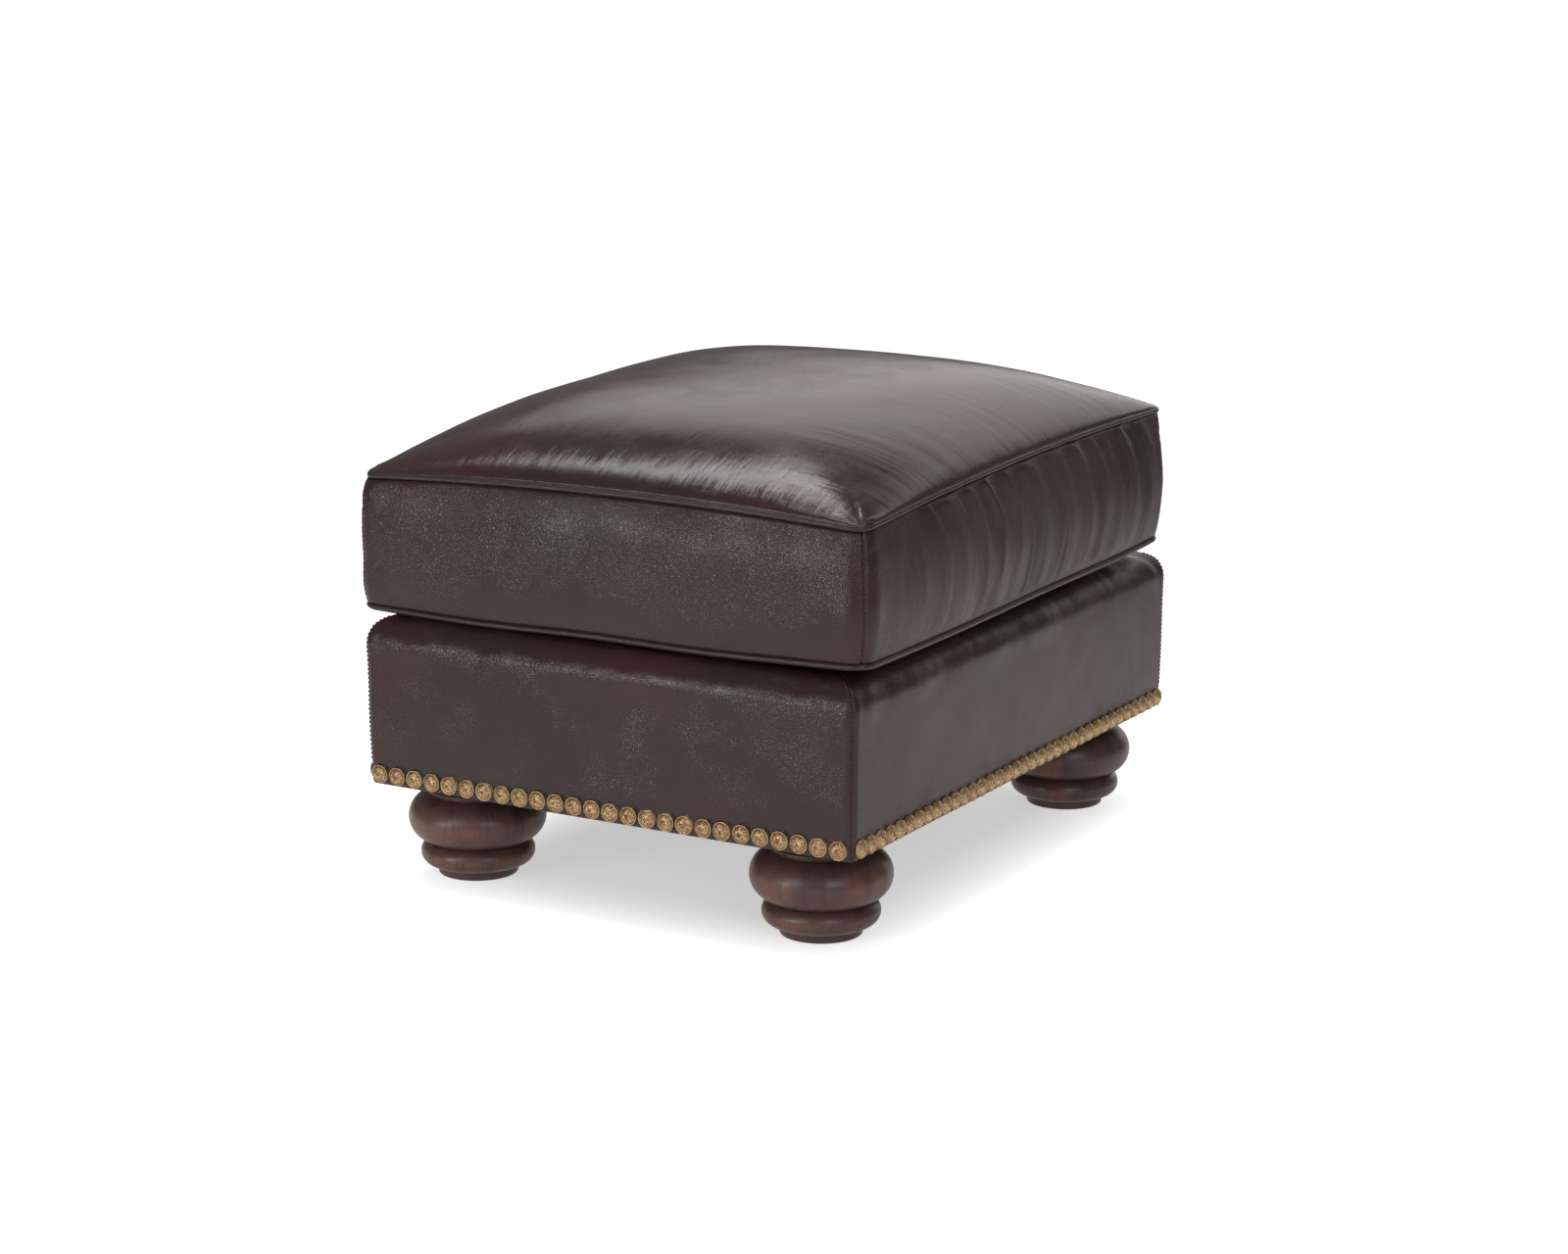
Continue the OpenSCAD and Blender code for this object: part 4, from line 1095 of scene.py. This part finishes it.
def make_zip():
    """Woven tape with fine ribs, and two rows of teeth that mesh, TOOTH_STEP apart."""
    y0 = ZIP_Y - 0.0002
    rows, cols = TAPE_GRID
    half_l = ZIP_L / 2 + TAPE_OVER
    x, z = np.meshgrid(np.linspace(-half_l, half_l, rows) + C_X,
                       np.linspace(-TAPE_HALF_H, TAPE_HALF_H, cols) + ZIP_Z, indexing="ij")
    ribs = RIB_H * np.cos(z / RIB_STEP * 2 * np.pi) + wave(at(x, 0 * x, z), TAPE_SWELL)
    tape = piece("zip_tape_cloth", at(x, y0 - 0.0002 + ribs, z), grid_corners(rows, cols), dust_weave,
                 "cushion", ("zip_tape",))
    thicken(tape, TAPE_DEEP)
    w, deep, reach = TOOTH_HALF_W, TOOTH_DEEP, TOOTH_REACH
    tooth = np.array([[-w, 0, 0], [w, 0, 0], [w, deep, 0], [-w, deep, 0],
                      [-w, 0.0002, reach], [w, 0.0002, reach], [0.0004, 0.0010, reach],
                      [-0.0004, 0.0010, reach]])
    box = np.array([[0, 3, 2, 1], [4, 5, 6, 7], [0, 1, 5, 4], [1, 2, 6, 5], [2, 3, 7, 6], [3, 0, 4, 7]])
    upright, flipped = np.diag([1.0, 1.0, 1.0]), np.diag([-1.0, 1.0, -1.0])
    places = []
    for i in range(int(ZIP_L / TOOTH_STEP)):
        x0 = C_X - ZIP_L / 2 + TOOTH_STEP / 2 + i * TOOTH_STEP
        places.append((upright, np.array([x0, y0 + 0.0001, ZIP_Z - TOOTH_ROOT])))
        places.append((flipped, np.array([x0 + TOOTH_STEP / 2, y0 + 0.0001, ZIP_Z + TOOTH_ROOT])))
    copies("zip_teeth_rows", tooth, box, places, zip_brass, "cushion", ("zip_teeth",),
           smooth=False)


top_points, top_normals = make_cushion_top()
box_points, box_normals = make_boxing()
make_zip_strips()
make_cushion_bottom()
UPPER_SPLICES = (0.137, C_Y - C_HALF_D, TOP_Z + 0.006), (C_X + C_HALF_W, 0.02, TOP_Z + 0.009)
LOWER_SPLICES = ((0.02, C_Y - C_HALF_D, LOW_Z),)
make_welt("welt_upper", seam_up, 1.0, UPPER_SPLICES, "welt_top", 81)
make_welt("welt_lower", seam_low, 0.0, LOWER_SPLICES, "welt_bottom", 82)
base_points, base_normals = make_base_leather()
make_stitches(top_points, top_normals, box_points, box_normals, base_points, base_normals)
for where, angle in (("front", 0.0), ("back", math.pi)):
    make_nail_row(where, NAILS_X, HALF_W, HALF_D, angle, NAIL_R_FRONT, brass_x)
for where, angle in (("right", math.pi / 2), ("left", -math.pi / 2)):
    make_nail_row(where, NAILS_Y, HALF_D, HALF_W, angle, NAIL_R_SIDE, brass_y)
for sx, sy, where in ((-1, -1, "front_left"), (1, -1, "front_right"), (-1, 1, "back_left"),
                      (1, 1, "back_right")):
    make_foot("turned_foot_" + where, sx, sy, "foot_" + where, sx * 0.7 + sy * 1.9)
make_deck()
make_zip()

# Finishes of the solids, by the start of their names
FINISHES = ((frame_wood, ("rail", "post", "block", "dowels")),
            (steel, ("spring_", "tie_wires", "staples", "hanger_bolts", "tee_nuts")),
            (zip_brass, ("zip_slider", "zip_pull")),
            (foam, ("cushion_core", "deck_pad")),
            (fibre, ("wrap",)),
            (felt, ("side_padding",)),
            (jute, ("burlap", "edge_roll")),
            (dust_weave, ("dust_cover",)))
for name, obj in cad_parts.items():
    for finish, starts in FINISHES:
        if name.startswith(starts):
            obj.data.materials.clear()
            obj.data.materials.append(finish)


# Floor, light and camera

FLOOR_HALF, FLOOR_Z = 14.0, -0.0004
FLOOR_GLOW = 0.52
FLOOR_SHINE, SHINE_FAR, SHINE_FADE = 0.35, 0.09, (0.8, 1.9)
PAPER, PAPER_FAR, PAPER_FADE = rgb(0.80, 0.80, 0.80), rgb(0.20, 0.20, 0.20), (1.8, 3.0)
SHADOW_X, SHADOW_Y, SHADOW_FADE = 0.17, 0.24, 0.19
WHITE, GLOSSY_TINT, ROOM_TINT = rgb(1, 1, 1), rgb(1, 0.90, 0.87), rgb(1, 0.972, 0.955)
ROOM = 0.145
WALL_LOW, WALL_HIGH = 0.78, 0.88
WALL_DEPTH, WALL_SIDE = (0.087, 0.996, 0), (0.996, -0.087, 0)
WALL_LEFT, WALL_LEAN, WALL_RIGHT = (-0.545, -0.505), 0.9, (0.24, 0.06)
WALL_TOP, WALL_RISE = (0.91, 0.74), (0.35, 0.65)


def make_floor():
    """A sheet of pale paper. To the camera it glows white, less where the object's shadow lies, within
    SHADOW_FADE of a rectangle under it. To glossy rays it glows faintly, less further off, and further off
    still its colour is darker."""
    mesh = bpy.data.meshes.new("floor")
    corners = [(sx * FLOOR_HALF, sy * FLOOR_HALF, FLOOR_Z) for sx, sy in ((-1, -1), (1, -1), (1, 1), (-1, 1))]
    mesh.from_pydata(corners, [], [(0, 1, 2, 3)])
    floor = bpy.data.objects.new("floor", mesh)
    scene.collection.objects.link(floor)
    mat = bpy.data.materials.new("pale_floor")
    mat.use_nodes = True
    mat.node_tree.nodes.clear()
    f = Nodes(mat.node_tree)
    camera_ray = f.add("ShaderNodeLightPath", "Is Camera Ray")
    glossy_ray = f.add("ShaderNodeLightPath", "Is Glossy Ray")
    centre = f.add("ShaderNodeVectorMath", "Value", {"operation": "DISTANCE"}, i0=f.coords, i1=(0, 0, 0))
    shade = f.mix(f.ease(centre, *PAPER_FADE), PAPER, PAPER_FAR)
    over_x, over_y = (f.math("MAXIMUM", f.math("SUBTRACT", f.math("ABSOLUTE", f.axis(axis)), half), 0.0)
                      for axis, half in (("X", SHADOW_X), ("Y", SHADOW_Y)))
    seen = f.times(f.ease(f.hypot(over_x, over_y), 0.0, SHADOW_FADE, FLOOR_GLOW, 1.0), camera_ray)
    mirrored = f.times(f.ease(centre, *SHINE_FADE, FLOOR_SHINE, SHINE_FAR), glossy_ray)
    glow = f.add("ShaderNodeEmission", Color=f.mix(camera_ray, GLOSSY_TINT, WHITE),
                 Strength=f.math("ADD", seen, mirrored))
    paper = f.add("ShaderNodeAddShader", i0=f.add("ShaderNodeBsdfDiffuse", Color=shade), i1=glow)
    f.add("ShaderNodeOutputMaterial", Surface=paper)
    mesh.materials.append(mat)


def make_world():
    """White to the camera. For everything else a dim room with one broad pale wall behind the object. A
    ray's sideways and upward parts are divided by its depth: the wall ends softly on the right and at the
    top, and on the left at a sharp edge that leans inwards as it rises."""
    world = bpy.data.worlds.new("studio")
    scene.world = world
    world.use_nodes = True
    world.node_tree.nodes.clear()
    f = Nodes(world.node_tree, "Generated")

    def part(axis):
        """The ray's part along an axis."""
        return f.add("ShaderNodeVectorMath", "Value", {"operation": "DOT_PRODUCT"}, i0=f.coords, i1=axis)

    depth = f.math("MAXIMUM", part(WALL_DEPTH), 0.02)
    side = f.math("DIVIDE", part(WALL_SIDE), depth)
    height = f.math("DIVIDE", part((0, 0, 1)), depth)
    slant = f.math("ADD", side, f.times(height, WALL_LEAN))
    wall = f.times(f.ease(slant, *WALL_LEFT), f.ease(side, *WALL_RIGHT), f.ease(height, *WALL_TOP),
                   f.ease(height, *WALL_RISE, WALL_LOW, WALL_HIGH))
    room = f.add("ShaderNodeBackground", Strength=f.math("ADD", wall, ROOM), Color=ROOM_TINT)
    white = f.add("ShaderNodeBackground", Color=WHITE)
    pick = f.add("ShaderNodeMixShader", i0=f.add("ShaderNodeLightPath", "Is Camera Ray"), i1=room, i2=white)
    f.add("ShaderNodeOutputWorld", Surface=pick)


def stand(obj, right, up, back, place):
    """Puts a lamp or the camera at a place, with its three axes along the given directions."""
    rows = [[right[i], up[i], back[i], place[i]] for i in range(3)]
    obj.matrix_world = Matrix(rows + [[0, 0, 0, 1]])


def make_lamp(name, place, target, size, size_y, watts):
    """A rectangular soft light that faces its target."""
    data = bpy.data.lights.new(name, "AREA")
    data.shape = "RECTANGLE"
    data.size = size
    data.size_y = size_y
    data.energy = watts
    lamp = bpy.data.objects.new(name, data)
    scene.collection.objects.link(lamp)
    back = unit(np.array(place, float) - np.array(target, float))
    right = unit(np.cross([0, 0, 1.0], back))
    stand(lamp, right, np.cross(back, right), back, place)


make_floor()
make_world()
# place, target, width, height and watts of each lamp
make_lamp("overhead", (0.1, -0.1, 2.9), (0, 0, 0.3), 1.3, 1.3, 22)
make_lamp("left_softbox", (-1.17, 0.70, 2.70), (0, 0, 0.45), 1.8, 0.52, 12.5)
make_lamp("front_left", (-1.42, -3.12, 0.46), (0.1, -0.34, 0.26), 0.9, 0.36, 11)
make_lamp("front_near", (-0.46, -3.27, 1.20), (0, 0, 0.2), 1.5, 1.2, 12)
make_lamp("front_right", (2.45, -2.20, 1.20), (0, 0, 0.2), 1.5, 1.2, 12)

# The camera stands where the photograph was taken from: its angles, its distance, the point it looks at
# as measured across and up its own picture plane, and its focal length in widths of the picture
AZIMUTH, ELEVATION = math.radians(30.22), math.radians(13.385)
REACH, ACROSS, ABOVE = 3.94548, 0.0034656, 0.21873
SENSOR, FOCAL_WIDTHS = 36, 3800 / 1600
flat = math.cos(ELEVATION)
back = np.array([math.sin(AZIMUTH) * flat, -math.cos(AZIMUTH) * flat, math.sin(ELEVATION)])
right = np.array([math.cos(AZIMUTH), math.sin(AZIMUTH), 0.0])
up = np.cross(back, right)
lens = bpy.data.cameras.new("camera")
lens.sensor_width = SENSOR
lens.lens = FOCAL_WIDTHS * SENSOR
lens.clip_end = 60
camera = bpy.data.objects.new("camera", lens)
scene.collection.objects.link(camera)
stand(camera, right, up, back, right * ACROSS + up * ABOVE + back * REACH)
scene.camera = camera
